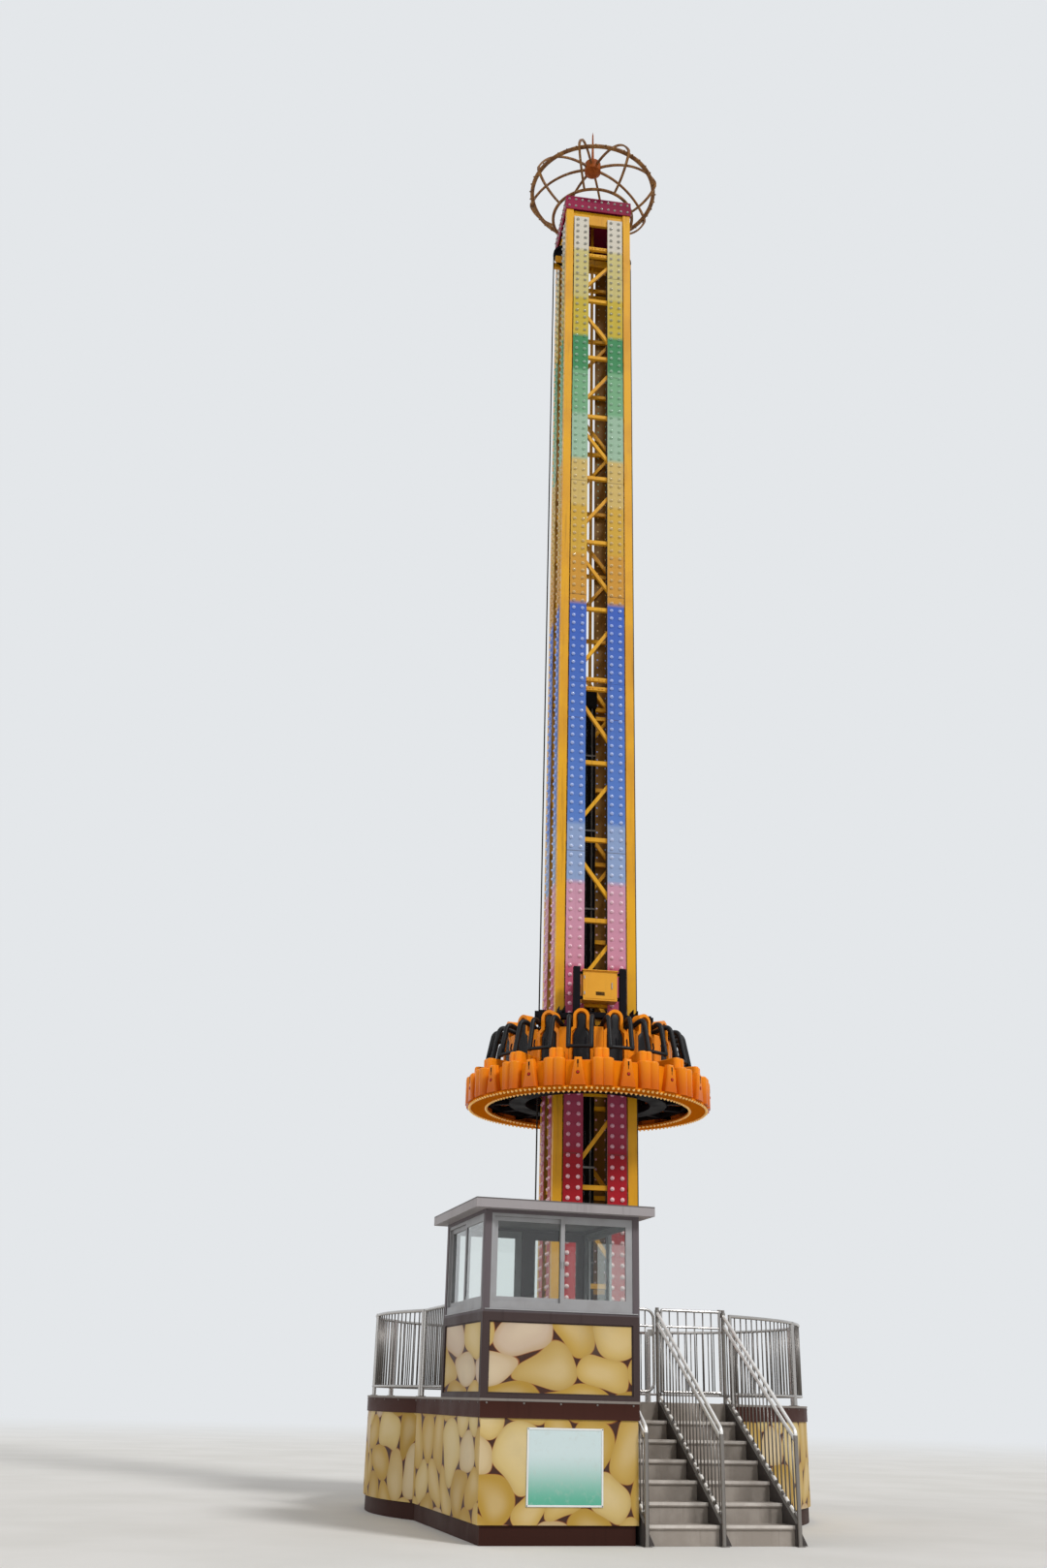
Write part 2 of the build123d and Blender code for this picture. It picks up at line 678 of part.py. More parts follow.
# Deck rim: the fascia along the deck's edge, set back under a lip
with BuildPart() as deck_rim:
    with BuildSketch(plan(RIM_BOTTOM)):
        straight_runs(0, RIM)
        round_run(0, RIM, WALL_PANELS // 2)
        slab((STAIR_LEFT, STAIR_RIGHT), (STAIR_BACK + JOINT_GAP, STAIR_BACK + RIM))
    extrude(amount=RIM_HEIGHT)
    with BuildSketch(plan(RIM_BOTTOM)):
        sector(DECK_RADIUS - RIM_LIP, DECK_RADIUS + RIM_LIP, RIGHT_MEET, WALL_SWEEP)
        for x, back in ((BLOCK_LEFT, -sqrt(DECK_RADIUS**2 - BLOCK_LEFT**2)), (BLOCK_RIGHT, STAIR_BACK)):
            slab((x - RIM_LIP, x + RIM_LIP), (BLOCK_FRONT - RIM_LIP, back))
        slab((BLOCK_LEFT, BLOCK_RIGHT), (BLOCK_FRONT - RIM_LIP, BLOCK_FRONT + RIM_LIP))
    extrude(amount=RIM_HEIGHT - RIM_LIP_HEIGHT, mode=Mode.SUBTRACT)
deck_rim.part.label = "deck_rim"
export_step(deck_rim.part, "parts/deck_rim.step")

# Round wall: curved cladding panels below the rim
with BuildPart() as round_wall:
    with BuildSketch(plan(PLINTH_HEIGHT)):
        round_run(WALL_INSET, WALL, WALL_PANELS)
    extrude(amount=RIM_BOTTOM - PLINTH_HEIGHT)
round_wall.part.label = "round_wall"
export_step(round_wall.part, "parts/round_wall.step")

# Block walls: flat cladding panels under the booth
with BuildPart() as block_walls:
    with BuildSketch(plan(PLINTH_HEIGHT)):
        straight_runs(WALL_INSET, WALL)
    extrude(amount=RIM_BOTTOM - PLINTH_HEIGHT)
block_walls.part.label = "block_walls"
export_step(block_walls.part, "parts/block_walls.step")

# Plinth: the dark kick strip on the ground
with BuildPart() as plinth:
    with BuildSketch():
        straight_runs(PLINTH_INSET, WALL)
        round_run(PLINTH_INSET, WALL, WALL_PANELS // 2)
    extrude(amount=PLINTH_HEIGHT)
plinth.part.label = "plinth"
export_step(plinth.part, "parts/plinth.step")


def joist_frame(front, back):
    """Side view of one joist on its posts, between two Y values."""
    slab((front, back), (RIM_BOTTOM, DECK_HEIGHT - DECK_PLATE))
    for y in (front + JOIST_POSTS_INSET, 0, back - JOIST_POSTS_INSET):
        slab((y - JOIST / 2, y + JOIST / 2), (0, RIM_BOTTOM))


JOIST_XS = (-2600.0, -1900.0, -INNER_JOIST, INNER_JOIST, 1900.0, 2600.0)

# Deck joists: beams and posts that carry the deck, inside the walls
with BuildPart() as deck_joists:
    for x in JOIST_XS:
        inside = DECK_RADIUS - PLINTH_INSET - WALL - JOINT_GAP
        chord = sqrt(inside**2 - (abs(x) + JOIST / 2) ** 2)
        under_booth = BLOCK_FRONT + PLINTH_INSET + WALL + JOINT_GAP
        with BuildSketch(side_plane(x)):
            joist_frame(under_booth if x < 0 else -chord, chord)
        extrude(amount=JOIST / 2, both=True)
deck_joists.part.label = "deck_joists"
export_step(deck_joists.part, "parts/deck_joists.step")


def nose_line(y):
    """Height of the line through the stair's nosings at one Y."""
    return RISE + (y - BLOCK_FRONT) * (DECK_HEIGHT - RISE) / SLOPE_RUN


def step_outline(number):
    """Side view of one step: tread with its riser under the front."""
    front = BLOCK_FRONT + number * GOING
    top = (number + 1) * RISE
    foot = number * RISE + (SEAT_GAP if number else 0)
    slab((front - NOSING, front + GOING + RISER - SEAT_GAP), (top - TREAD, top))
    slab((front, front + RISER), (foot, top - TREAD))


# Stair treads: two flights of folded steps between the stringers
with BuildPart() as stair_treads:
    for low, high in (("left", "middle"), ("middle", "right")):
        start = STRINGER_PLACES[low] + STRINGER / 2
        width = STRINGER_PLACES[high] - STRINGER / 2 - start
        for number in range(RISERS - 1):
            with BuildSketch(side_plane(start)):
                step_outline(number)
            extrude(amount=width)
        with BuildSketch(side_plane(start)):
            slab(
                (STAIR_BACK - RISER - SEAT_GAP, STAIR_BACK - SEAT_GAP),
                (DECK_HEIGHT - RISE + SEAT_GAP, DECK_HEIGHT),
            )
        extrude(amount=width)
stair_treads.part.label = "stair_treads"
export_step(stair_treads.part, "parts/stair_treads.step")

# Stair stringers: three sloping plates
with BuildPart() as stair_stringers:
    front = BLOCK_FRONT - STRINGER_ABOVE
    slope = (DECK_HEIGHT - RISE) / SLOPE_RUN
    for x in STRINGER_PLACES.values():
        with BuildSketch(side_plane(x)):
            outline(
                [
                    (front, 0),
                    (front, nose_line(front) + STRINGER_ABOVE),
                    (STAIR_BACK - STRINGER_ABOVE / slope, DECK_HEIGHT),
                    (STAIR_BACK, DECK_HEIGHT),
                    (STAIR_BACK, DECK_HEIGHT - STRINGER_BELOW),
                    (BLOCK_FRONT + (STRINGER_BELOW - RISE) / slope, 0),
                ]
            )
        extrude(amount=STRINGER / 2, both=True)
stair_stringers.part.label = "stair_stringers"
export_step(stair_stringers.part, "parts/stair_stringers.step")

FOOT_POST = BLOCK_FRONT - STRINGER_ABOVE - POST / 2
HEAD_POST = STAIR_BACK + POST / 2
GATE_Y = HEAD_POST
GATE_LEFT_HINGE = STRINGER_PLACES["left"] + POST / 2 + GATE_CLEAR + GATE_TUBE / 2
GATE_RIGHT_HINGE = STRINGER_PLACES["right"] - POST / 2 - GATE_CLEAR - GATE_TUBE / 2


def sloped_bar(height, thickness):
    """Side view of one bar that follows the nosings from the foot post to the head post."""
    outline(
        [
            (FOOT_POST, nose_line(FOOT_POST) + height - thickness / 2),
            (HEAD_POST, nose_line(HEAD_POST) + height - thickness / 2),
            (HEAD_POST, nose_line(HEAD_POST) + height + thickness / 2),
            (FOOT_POST, nose_line(FOOT_POST) + height + thickness / 2),
        ]
    )


# Stair rails: three sloping balustrades with a double handrail
with BuildPart() as stair_rails:
    second = HANDRAIL_HEIGHT - SECOND_RAIL_DROP
    for x in STRINGER_PLACES.values():
        with BuildSketch(side_plane(x)):
            sloped_bar(HANDRAIL_HEIGHT, HANDRAIL)
            sloped_bar(second, HANDRAIL)
            sloped_bar(STAIR_FOOT_RAIL, HANDRAIL)
        extrude(amount=HANDRAIL / 2, both=True)
        with BuildSketch(side_plane(x)):
            slab(
                (FOOT_POST - POST / 2, FOOT_POST + POST / 2),
                (0, nose_line(FOOT_POST) + HANDRAIL_HEIGHT + HANDRAIL / 2),
            )
            slab(
                (HEAD_POST - POST / 2, HEAD_POST + POST / 2),
                (DECK_HEIGHT, DECK_HEIGHT + GATE_TOP + SEAT_GAP + PIVOT),
            )
        extrude(amount=POST / 2, both=True)
        with BuildSketch(side_plane(x)):
            count = int((HEAD_POST - FOOT_POST) / BALUSTER_PITCH)
            pitch = (HEAD_POST - FOOT_POST) / count
            for number in range(1, count):
                y = FOOT_POST + number * pitch
                slab(
                    (y - BALUSTER / 2, y + BALUSTER / 2),
                    (nose_line(y) + STAIR_FOOT_RAIL, nose_line(y) + second),
                )
        extrude(amount=BALUSTER / 2, both=True)
    for low in (GATE_BOTTOM - PIVOT - SEAT_GAP, GATE_TOP + SEAT_GAP):
        with BuildSketch(plan(DECK_HEIGHT + low)):
            for post, hinge in (
                (STRINGER_PLACES["left"] + POST / 2, GATE_LEFT_HINGE + GATE_TUBE / 2),
                (STRINGER_PLACES["right"] - POST / 2, GATE_RIGHT_HINGE - GATE_TUBE / 2),
            ):
                slab((min(post, hinge), max(post, hinge)), (GATE_Y - GATE_TUBE / 2, GATE_Y + GATE_TUBE / 2))
        extrude(amount=PIVOT)
stair_rails.part.label = "stair_rails"
export_step(stair_rails.part, "parts/stair_rails.step")

FENCE_TOP = DECK_HEIGHT + FENCE_HEIGHT
FENCE_LEFT = BLOCK_LEFT + DECK_RADIUS - FENCE_RADIUS
FENCE_START = -degrees(acos((STAIR_RIGHT + POST) / FENCE_RADIUS))
FENCE_END = 180 + degrees(acos(-FENCE_LEFT / FENCE_RADIUS))

# Round fence: panels round the deck, each with its own posts
with BuildPart() as fence_round:
    step = (FENCE_END - FENCE_START) / FENCE_PANELS
    gap = degrees(JOINT_GAP / FENCE_RADIUS)
    post_turn = degrees(POST / FENCE_RADIUS)
    for panel in range(FENCE_PANELS):
        start = FENCE_START + panel * step
        sweep = step - gap
        for low in (DECK_HEIGHT + FENCE_FOOT_RAIL, FENCE_TOP - FENCE_RAIL):
            with BuildSketch(plan(low)):
                sector(FENCE_RADIUS - FENCE_RAIL / 2, FENCE_RADIUS + FENCE_RAIL / 2, start, sweep)
            extrude(amount=FENCE_RAIL)
        with BuildSketch(plan(DECK_HEIGHT)):
            for angle in (start, start + sweep - post_turn):
                sector(FENCE_RADIUS - POST / 2, FENCE_RADIUS + POST / 2, angle, post_turn)
        extrude(amount=FENCE_HEIGHT)
        spread = sweep / (FENCE_BALUSTERS + 1)
        with BuildSketch(plan(DECK_HEIGHT + FENCE_FOOT_RAIL + FENCE_RAIL)):
            with PolarLocations(
                FENCE_RADIUS,
                FENCE_BALUSTERS,
                start_angle=start + spread,
                angular_range=spread * FENCE_BALUSTERS,
                endpoint=False,
            ):
                Rectangle(BALUSTER, BALUSTER)
        extrude(amount=FENCE_HEIGHT - FENCE_FOOT_RAIL - 2 * FENCE_RAIL)
fence_round.part.label = "fence_round"
export_step(fence_round.part, "parts/fence_round.step")


def upright_fence(length, height, balusters):
    """Front view of a flat fence panel standing on its local X axis, from X = 0."""
    for low in (FENCE_FOOT_RAIL, height - FENCE_RAIL):
        slab((0, length), (low, low + FENCE_RAIL))
    for post in (0, length - POST):
        slab((post, post + POST), (0, height))
    pitch = (length - POST) / (balusters + 1)
    for number in range(1, balusters + 1):
        x = POST / 2 + number * pitch
        slab((x - BALUSTER / 2, x + BALUSTER / 2), (FENCE_FOOT_RAIL, height - FENCE_RAIL))


# Left fence: straight run from the booth back to the round fence
with BuildPart() as fence_left:
    fence_meet = -sqrt(FENCE_RADIUS**2 - FENCE_LEFT**2)
    length = fence_meet - POST - BOOTH_BACK
    with BuildSketch(Plane(origin=(FENCE_LEFT, BOOTH_BACK, DECK_HEIGHT), x_dir=(0, 1, 0), z_dir=(1, 0, 0))):
        upright_fence(length, FENCE_HEIGHT, ceil(length / BALUSTER_PITCH) - 1)
    extrude(amount=BALUSTER / 2, both=True)
fence_left.part.label = "fence_left"
export_step(fence_left.part, "parts/fence_left.step")


def gate(hinge_x, free_x):
    """One flat gate in its closed place, with a square tube frame and round-headed bars."""
    low = min(hinge_x, free_x) - GATE_TUBE / 2
    high = max(hinge_x, free_x) + GATE_TUBE / 2
    with BuildPart() as leaf:
        with BuildSketch(Plane(origin=(0, GATE_Y, DECK_HEIGHT), x_dir=(1, 0, 0), z_dir=(0, -1, 0))):
            slab((min(hinge_x, low + GATE_TUBE), max(hinge_x, high - GATE_TUBE)), (GATE_BOTTOM, GATE_TOP))
            slab((free_x - GATE_TUBE / 2, free_x + GATE_TUBE / 2), (GATE_BOTTOM, GATE_TOP))
            inside = (low + GATE_TUBE, high - GATE_TUBE)
            middle = (inside[0] + inside[1]) / 2
            second = GATE_TOP - GATE_SECOND_DROP
            for bottom, top in (
                (GATE_BOTTOM + GATE_TUBE, second - GATE_TUBE),
                (second, GATE_TOP - GATE_TUBE),
            ):
                with Locations((middle, (bottom + top) / 2)):
                    Rectangle(inside[1] - inside[0], top - bottom, mode=Mode.SUBTRACT)
        extrude(amount=GATE_TUBE / 2, both=True)
        with BuildSketch(Plane(origin=(0, GATE_Y, DECK_HEIGHT), x_dir=(1, 0, 0), z_dir=(0, -1, 0))):
            pitch = (inside[1] - inside[0]) / (GATE_BALUSTERS + 1)
            for number in range(1, GATE_BALUSTERS + 1):
                x = inside[0] + number * pitch
                slab((x - BALUSTER / 2, x + BALUSTER / 2), (GATE_BOTTOM, GATE_TOP - GATE_TUBE / 2))
        extrude(amount=BALUSTER / 2, both=True)
        with BuildSketch(plan(DECK_HEIGHT + GATE_BOTTOM)):
            with Locations((hinge_x, GATE_Y)):
                Circle(GATE_TUBE / 2)
        extrude(amount=GATE_TOP - GATE_BOTTOM)
    return leaf


MIDDLE_POST = STRINGER_PLACES["middle"]
gate_left = gate(GATE_LEFT_HINGE, MIDDLE_POST - POST / 2 - GATE_CLEAR - GATE_TUBE / 2)
gate_left.part.label = "gate_left"
export_step(gate_left.part, "parts/gate_left.step")
gate_right = gate(GATE_RIGHT_HINGE, MIDDLE_POST + POST / 2 + GATE_CLEAR + GATE_TUBE / 2)
gate_right.part.label = "gate_right"
export_step(gate_right.part, "parts/gate_right.step")

BOOTH_FLOOR = DECK_HEIGHT
POST_IN = BLOCK_LEFT + BOOTH_POST
DOOR_RIGHT = BLOCK_RIGHT - BOOTH_POST
DOOR_LEFT = DOOR_RIGHT - DOOR_WIDTH


def booth_runs(thickness, back_left, back_right):
    """Plans of the booth's sides between its corner posts; the back run may be shorter."""
    inner_x = (BLOCK_LEFT + BOOTH_POST, BLOCK_RIGHT - BOOTH_POST)
    inner_y = (BLOCK_FRONT + BOOTH_POST, BOOTH_BACK - BOOTH_POST)
    middle = BOOTH_POST / 2
    slab(inner_x, (BLOCK_FRONT + middle - thickness / 2, BLOCK_FRONT + middle + thickness / 2))
    slab((BLOCK_LEFT + middle - thickness / 2, BLOCK_LEFT + middle + thickness / 2), inner_y)
    slab((BLOCK_RIGHT - middle - thickness / 2, BLOCK_RIGHT - middle + thickness / 2), inner_y)
    slab((back_left, back_right), (BOOTH_BACK - middle - thickness / 2, BOOTH_BACK - middle + thickness / 2))


# Booth frame: corner posts with a sill rail, a band under the windows and a head rail
with BuildPart() as booth_frame:
    with BuildSketch(plan(BOOTH_FLOOR)):
        with Locations(((BLOCK_LEFT + BLOCK_RIGHT) / 2, (BLOCK_FRONT + BOOTH_BACK) / 2)):
            with GridLocations(
                BLOCK_RIGHT - BLOCK_LEFT - BOOTH_POST,
                BOOTH_BACK - BLOCK_FRONT - BOOTH_POST,
                2,
                2,
            ):
                Rectangle(BOOTH_POST, BOOTH_POST)
        slab((DOOR_LEFT - BOOTH_POST, DOOR_LEFT), (BOOTH_BACK - BOOTH_POST, BOOTH_BACK))
    extrude(amount=BOOTH_TOP - BOOTH_FLOOR)
    for low, high, back_right in (
        (BOOTH_FLOOR, BOOTH_FLOOR + SILL_RAIL, DOOR_LEFT),
        (PANEL_TOP, BAND_TOP, DOOR_LEFT),
        (WINDOW_TOP, BOOTH_TOP, DOOR_RIGHT),
    ):
        with BuildSketch(plan(low)):
            booth_runs(BOOTH_POST, POST_IN, back_right)
        extrude(amount=high - low)
booth_frame.part.label = "booth_frame"
export_step(booth_frame.part, "parts/booth_frame.step")

# Booth walls: cladding panels below the windows
with BuildPart() as booth_walls:
    with BuildSketch(plan(BOOTH_FLOOR + SILL_RAIL)):
        booth_runs(BOOTH_SKIN, POST_IN, DOOR_LEFT - BOOTH_POST)
    extrude(amount=PANEL_TOP - BOOTH_FLOOR - SILL_RAIL)
booth_walls.part.label = "booth_walls"
export_step(booth_walls.part, "parts/booth_walls.step")


def window_openings():
    """The four window bays: plane in the bay's middle and its clear width."""
    middle_x = (BLOCK_LEFT + BLOCK_RIGHT) / 2
    middle_y = (BLOCK_FRONT + BOOTH_BACK) / 2
    across = BLOCK_RIGHT - BLOCK_LEFT - 2 * BOOTH_POST
    deep = BOOTH_BACK - BLOCK_FRONT - 2 * BOOTH_POST
    inset = BOOTH_POST / 2
    back_width = DOOR_LEFT - BOOTH_POST - POST_IN
    back_middle = (DOOR_LEFT - BOOTH_POST + POST_IN) / 2
    return [
        (Plane(origin=(middle_x, BLOCK_FRONT + inset, 0), x_dir=(1, 0, 0), z_dir=(0, -1, 0)), across),
        (Plane(origin=(BLOCK_LEFT + inset, middle_y, 0), x_dir=(0, -1, 0), z_dir=(-1, 0, 0)), deep),
        (Plane(origin=(BLOCK_RIGHT - inset, middle_y, 0), x_dir=(0, 1, 0), z_dir=(1, 0, 0)), deep),
        (Plane(origin=(back_middle, BOOTH_BACK - inset, 0), x_dir=(-1, 0, 0), z_dir=(0, 1, 0)), back_width),
    ]


SASH_BOTTOM = BAND_TOP + WINDOW_SILL
SASH_TOP = WINDOW_TOP - WINDOW_FRAME


def sash_places(width):
    """Both sashes of one bay: sideways place of the middle, width, and depth of the back face."""
    clear = width - 2 * WINDOW_FRAME
    leaf = (clear + SASH) / 2
    return [
        (-(clear - leaf) / 2, leaf, -SASH_DEPTH - SEAT_GAP),
        ((clear - leaf) / 2, leaf, 0),
    ]


# Booth windows: a fixed frame with a deep sill, and two sliding sashes in it
with BuildPart() as booth_windows:
    for plane, width in window_openings():
        with BuildSketch(plane.offset(-SASH_DEPTH - SEAT_GAP)):
            slab((-width / 2, width / 2), (BAND_TOP, WINDOW_TOP))
            with Locations((0, (SASH_BOTTOM + SASH_TOP) / 2)):
                Rectangle(width - 2 * WINDOW_FRAME, SASH_TOP - SASH_BOTTOM, mode=Mode.SUBTRACT)
        extrude(amount=2 * SASH_DEPTH + SEAT_GAP)
    for plane, width in window_openings():
        for place, leaf, depth in sash_places(width):
            with BuildSketch(plane.offset(depth)):
                with Locations((place, (SASH_BOTTOM + SASH_TOP) / 2)):
                    Rectangle(leaf - SEAT_GAP, SASH_TOP - SASH_BOTTOM - SEAT_GAP)
                    Rectangle(leaf - 2 * SASH, SASH_TOP - SASH_BOTTOM - 2 * SASH, mode=Mode.SUBTRACT)
            extrude(amount=SASH_DEPTH)
booth_windows.part.label = "booth_windows"
export_step(booth_windows.part, "parts/booth_windows.step")

DOOR_PLANE = Plane(origin=(0, BOOTH_BACK - BOOTH_POST / 2, 0), x_dir=(-1, 0, 0), z_dir=(0, 1, 0))
DOOR_PANE = (-DOOR_RIGHT + JOINT_GAP + DOOR_STILE, -DOOR_LEFT - JOINT_GAP - DOOR_STILE)
DOOR_PANE_TOP = WINDOW_TOP - JOINT_GAP - DOOR_STILE

# Booth glass: one pane in each sash and one in the upper half of the door
with BuildPart() as booth_glass:
    for plane, width in window_openings():
        for place, leaf, depth in sash_places(width):
            with BuildSketch(plane.offset(depth + SASH_DEPTH / 2)):
                with Locations((place, (SASH_BOTTOM + SASH_TOP) / 2)):
                    Rectangle(leaf - 2 * SASH, SASH_TOP - SASH_BOTTOM - 2 * SASH)
            extrude(amount=GLASS / 2, both=True)
    with BuildSketch(DOOR_PLANE):
        slab(DOOR_PANE, (SASH_BOTTOM, DOOR_PANE_TOP))
    extrude(amount=GLASS / 2, both=True)
booth_glass.part.label = "booth_glass"
export_step(booth_glass.part, "parts/booth_glass.step")

# Booth roof: a shallow hipped slab with a deep fascia
with BuildPart() as booth_roof:
    roof_width = BLOCK_RIGHT - BLOCK_LEFT + 2 * ROOF_OVERHANG
    roof_depth = BOOTH_BACK - BLOCK_FRONT + 2 * ROOF_OVERHANG
    with BuildSketch(plan(BOOTH_TOP)):
        slab(
            (BLOCK_LEFT - ROOF_OVERHANG, BLOCK_RIGHT + ROOF_OVERHANG),
            (BLOCK_FRONT - ROOF_OVERHANG, BOOTH_BACK + ROOF_OVERHANG),
        )
    extrude(amount=ROOF_EDGE)
    for height, share in ((0, 1.0), (ROOF_CAMBER, 0.5)):
        with BuildSketch(plan(BOOTH_TOP + ROOF_EDGE + height)):
            with Locations(((BLOCK_LEFT + BLOCK_RIGHT) / 2, (BLOCK_FRONT + BOOTH_BACK) / 2)):
                Rectangle(roof_width * share, roof_depth * share)
    loft()
booth_roof.part.label = "booth_roof"
export_step(booth_roof.part, "parts/booth_roof.step")

# Booth door: a leaf in the side towards the deck, open for its pane in the upper half
with BuildPart() as booth_door:
    with BuildSketch(DOOR_PLANE):
        slab(
            (-DOOR_RIGHT + JOINT_GAP, -DOOR_LEFT - JOINT_GAP),
            (BOOTH_FLOOR + SEAT_GAP, WINDOW_TOP - JOINT_GAP),
        )
        with Locations(((DOOR_PANE[0] + DOOR_PANE[1]) / 2, (SASH_BOTTOM + DOOR_PANE_TOP) / 2)):
            Rectangle(DOOR_PANE[1] - DOOR_PANE[0], DOOR_PANE_TOP - SASH_BOTTOM, mode=Mode.SUBTRACT)
    extrude(amount=DOOR_LEAF / 2, both=True)
booth_door.part.label = "booth_door"
export_step(booth_door.part, "parts/booth_door.step")

ROLLER_OUT = HALF + ROLLER + SEAT_GAP
ROLLER_ALONG = COLUMN_PLACE / 2
ROLLER_LEVELS = (CARRIAGE_TOP, UPPER_BEAM_TOP)


def roller_places():
    """Turn, sideways place and height of every guide roller."""
    return [
        (turn, side * ROLLER_ALONG, level + CHEEK_HEIGHT / 2)
        for level in ROLLER_LEVELS
        for turn in (0, 90, 180, 270)
        for side in (-1, 1)
    ]


# Carriage frame: two round beams tied by posts, with the ledge that the seats turn on
with BuildPart() as carriage_frame:
    with BuildSketch(plan(CARRIAGE_BOTTOM)):
        Circle(BEARING_REACH)
        Circle(CARRIAGE_INNER, mode=Mode.SUBTRACT)
    extrude(amount=BEARING_LEDGE)
    for low, high in (
        (CARRIAGE_BOTTOM, CARRIAGE_TOP),
        (UPPER_BEAM_TOP - UPPER_BEAM, UPPER_BEAM_TOP),
    ):
        with BuildSketch(plan(low)):
            Circle(CARRIAGE_OUTER)
            Circle(CARRIAGE_INNER, mode=Mode.SUBTRACT)
        extrude(amount=high - low)
    with BuildSketch(mast_plan(CARRIAGE_TOP)):
        with PolarLocations((CARRIAGE_INNER + CARRIAGE_OUTER) / 2, CARRIAGE_POSTS, start_angle=22.5):
            Rectangle(CARRIAGE_POST, CARRIAGE_POST)
    extrude(amount=UPPER_BEAM_TOP - UPPER_BEAM - CARRIAGE_TOP)
    for level in ROLLER_LEVELS:
        for turn in (0, 90, 180, 270):
            for side in (-1, 1):
                for cheek in (-1, 1):
                    x = side * ROLLER_ALONG + cheek * (ROLLER_WIDTH + CHEEK) / 2
                    along = turned(MAST_TURN + turn)[0]
                    place = Plane(origin=along * x, x_dir=turned(MAST_TURN + turn)[1], z_dir=along)
                    reach = sqrt(CARRIAGE_OUTER**2 - (abs(x) + CHEEK) ** 2)
                    with BuildSketch(place):
                        slab((-reach, -ROLLER_OUT + ROLLER_AXLE), (level, level + CHEEK_HEIGHT))
                    extrude(amount=CHEEK / 2, both=True)
carriage_frame.part.label = "carriage_frame"
export_step(carriage_frame.part, "parts/carriage_frame.step")

# Guide rollers: two on each column at both levels
with BuildPart() as guide_rollers:
    for turn, x, z in roller_places():
        along, inward = turned(MAST_TURN + turn)
        centre = along * x + inward * -ROLLER_OUT + Vector(0, 0, z)
        with BuildSketch(Plane(origin=centre, x_dir=(0, 0, 1), z_dir=along)):
            Circle(ROLLER)
        extrude(amount=ROLLER_WIDTH / 2 - SEAT_GAP, both=True)
guide_rollers.part.label = "guide_rollers"
export_step(guide_rollers.part, "parts/guide_rollers.step")

# Carriage uprights: a pair at the front and a pair at the back
with BuildPart() as carriage_uprights:
    with BuildSketch(mast_plan(UPPER_BEAM_TOP)):
        with GridLocations(UPRIGHT_SPACING, 2 * UPRIGHT_FRONT - UPRIGHT, 2, 2):
            Rectangle(UPRIGHT, UPRIGHT)
    extrude(amount=UPRIGHT_TOP - UPPER_BEAM_TOP)
carriage_uprights.part.label = "carriage_uprights"
export_step(carriage_uprights.part, "parts/carriage_uprights.step")

# Control cabinet: a box with a drip roof, hung between the front uprights on two rails
with BuildPart() as control_cabinet:
    back = UPRIGHT_FRONT - CABINET_DEPTH
    with BuildSketch(mast_plan(CABINET_BOTTOM)):
        slab((-CABINET_WIDTH / 2, CABINET_WIDTH / 2), (-UPRIGHT_FRONT, -back))
    extrude(amount=CABINET_TOP - CABINET_BOTTOM)
    with BuildSketch(mast_plan(CABINET_TOP)):
        slab(
            (-CABINET_WIDTH / 2 - DRIP_SIDE, CABINET_WIDTH / 2 + DRIP_SIDE),
            (-UPRIGHT_FRONT - DRIP_FRONT, -back),
        )
    extrude(amount=DRIP_ROOF)
    rail_half = (UPRIGHT_SPACING - UPRIGHT) / 2
    rail_front = -UPRIGHT_FRONT + CABINET_RAIL_SETBACK
    for low in (
        CABINET_BOTTOM + CABINET_RAIL_INSET,
        CABINET_TOP - CABINET_RAIL_INSET - CABINET_RAIL,
    ):
        with BuildSketch(mast_plan(low)):
            slab((-rail_half, rail_half), (rail_front, rail_front + CABINET_RAIL))
        extrude(amount=CABINET_RAIL)
control_cabinet.part.label = "control_cabinet"
export_step(control_cabinet.part, "parts/control_cabinet.step")


def frame_segment():
    """Plan of one segment of the turning frame: bearing, spoke and tie."""
    half = SEAT_PITCH / 2
    gap = degrees(JOINT_GAP / FRAME_INNER)
    for inner, outer in ((FRAME_INNER, BEARING_REACH), (HOOP_INNER, HOOP_INNER + SPOKE)):
        sector(inner, outer, -half + gap / 2, SEAT_PITCH - gap)
    slab((FRAME_INNER + SPOKE, FRAME_OUTER), (-SPOKE / 2, SPOKE / 2))


# Ring frame: sixteen steel segments that turn on the carriage's ledge
with BuildPart() as ring_frame:
    for seat in range(SEATS):
        with BuildSketch(seat_plan(seat, FRAME_BOTTOM)):
            frame_segment()
        extrude(amount=FRAME_DEPTH)
ring_frame.part.label = "ring_frame"
export_step(ring_frame.part, "parts/ring_frame.step")


# Skirt: sixteen moulded segments with an inward return along the bottom
with BuildPart() as skirt:
    gap = degrees(JOINT_GAP / SKIRT_OUTER)
    for seat in range(SEATS):
        start = -SEAT_PITCH / 2 + gap / 2
        with BuildSketch(seat_plan(seat, RING_BOTTOM)):
            sector(SKIRT_INNER, SKIRT_OUTER, start, SEAT_PITCH - gap)
        extrude(amount=SKIRT_SKIN)
        reach = degrees(asin((SEAT_HALF - JOINT_GAP) / SKIRT_WALL))
        with BuildSketch(seat_plan(seat, RING_BOTTOM + SKIRT_SKIN)):
            sector(SKIRT_WALL - SKIRT_SKIN, SKIRT_WALL, -reach, 2 * reach)
        extrude(amount=SKIRT_TOP - RING_BOTTOM - SKIRT_SKIN)
skirt.part.label = "skirt"
export_step(skirt.part, "parts/skirt.step")

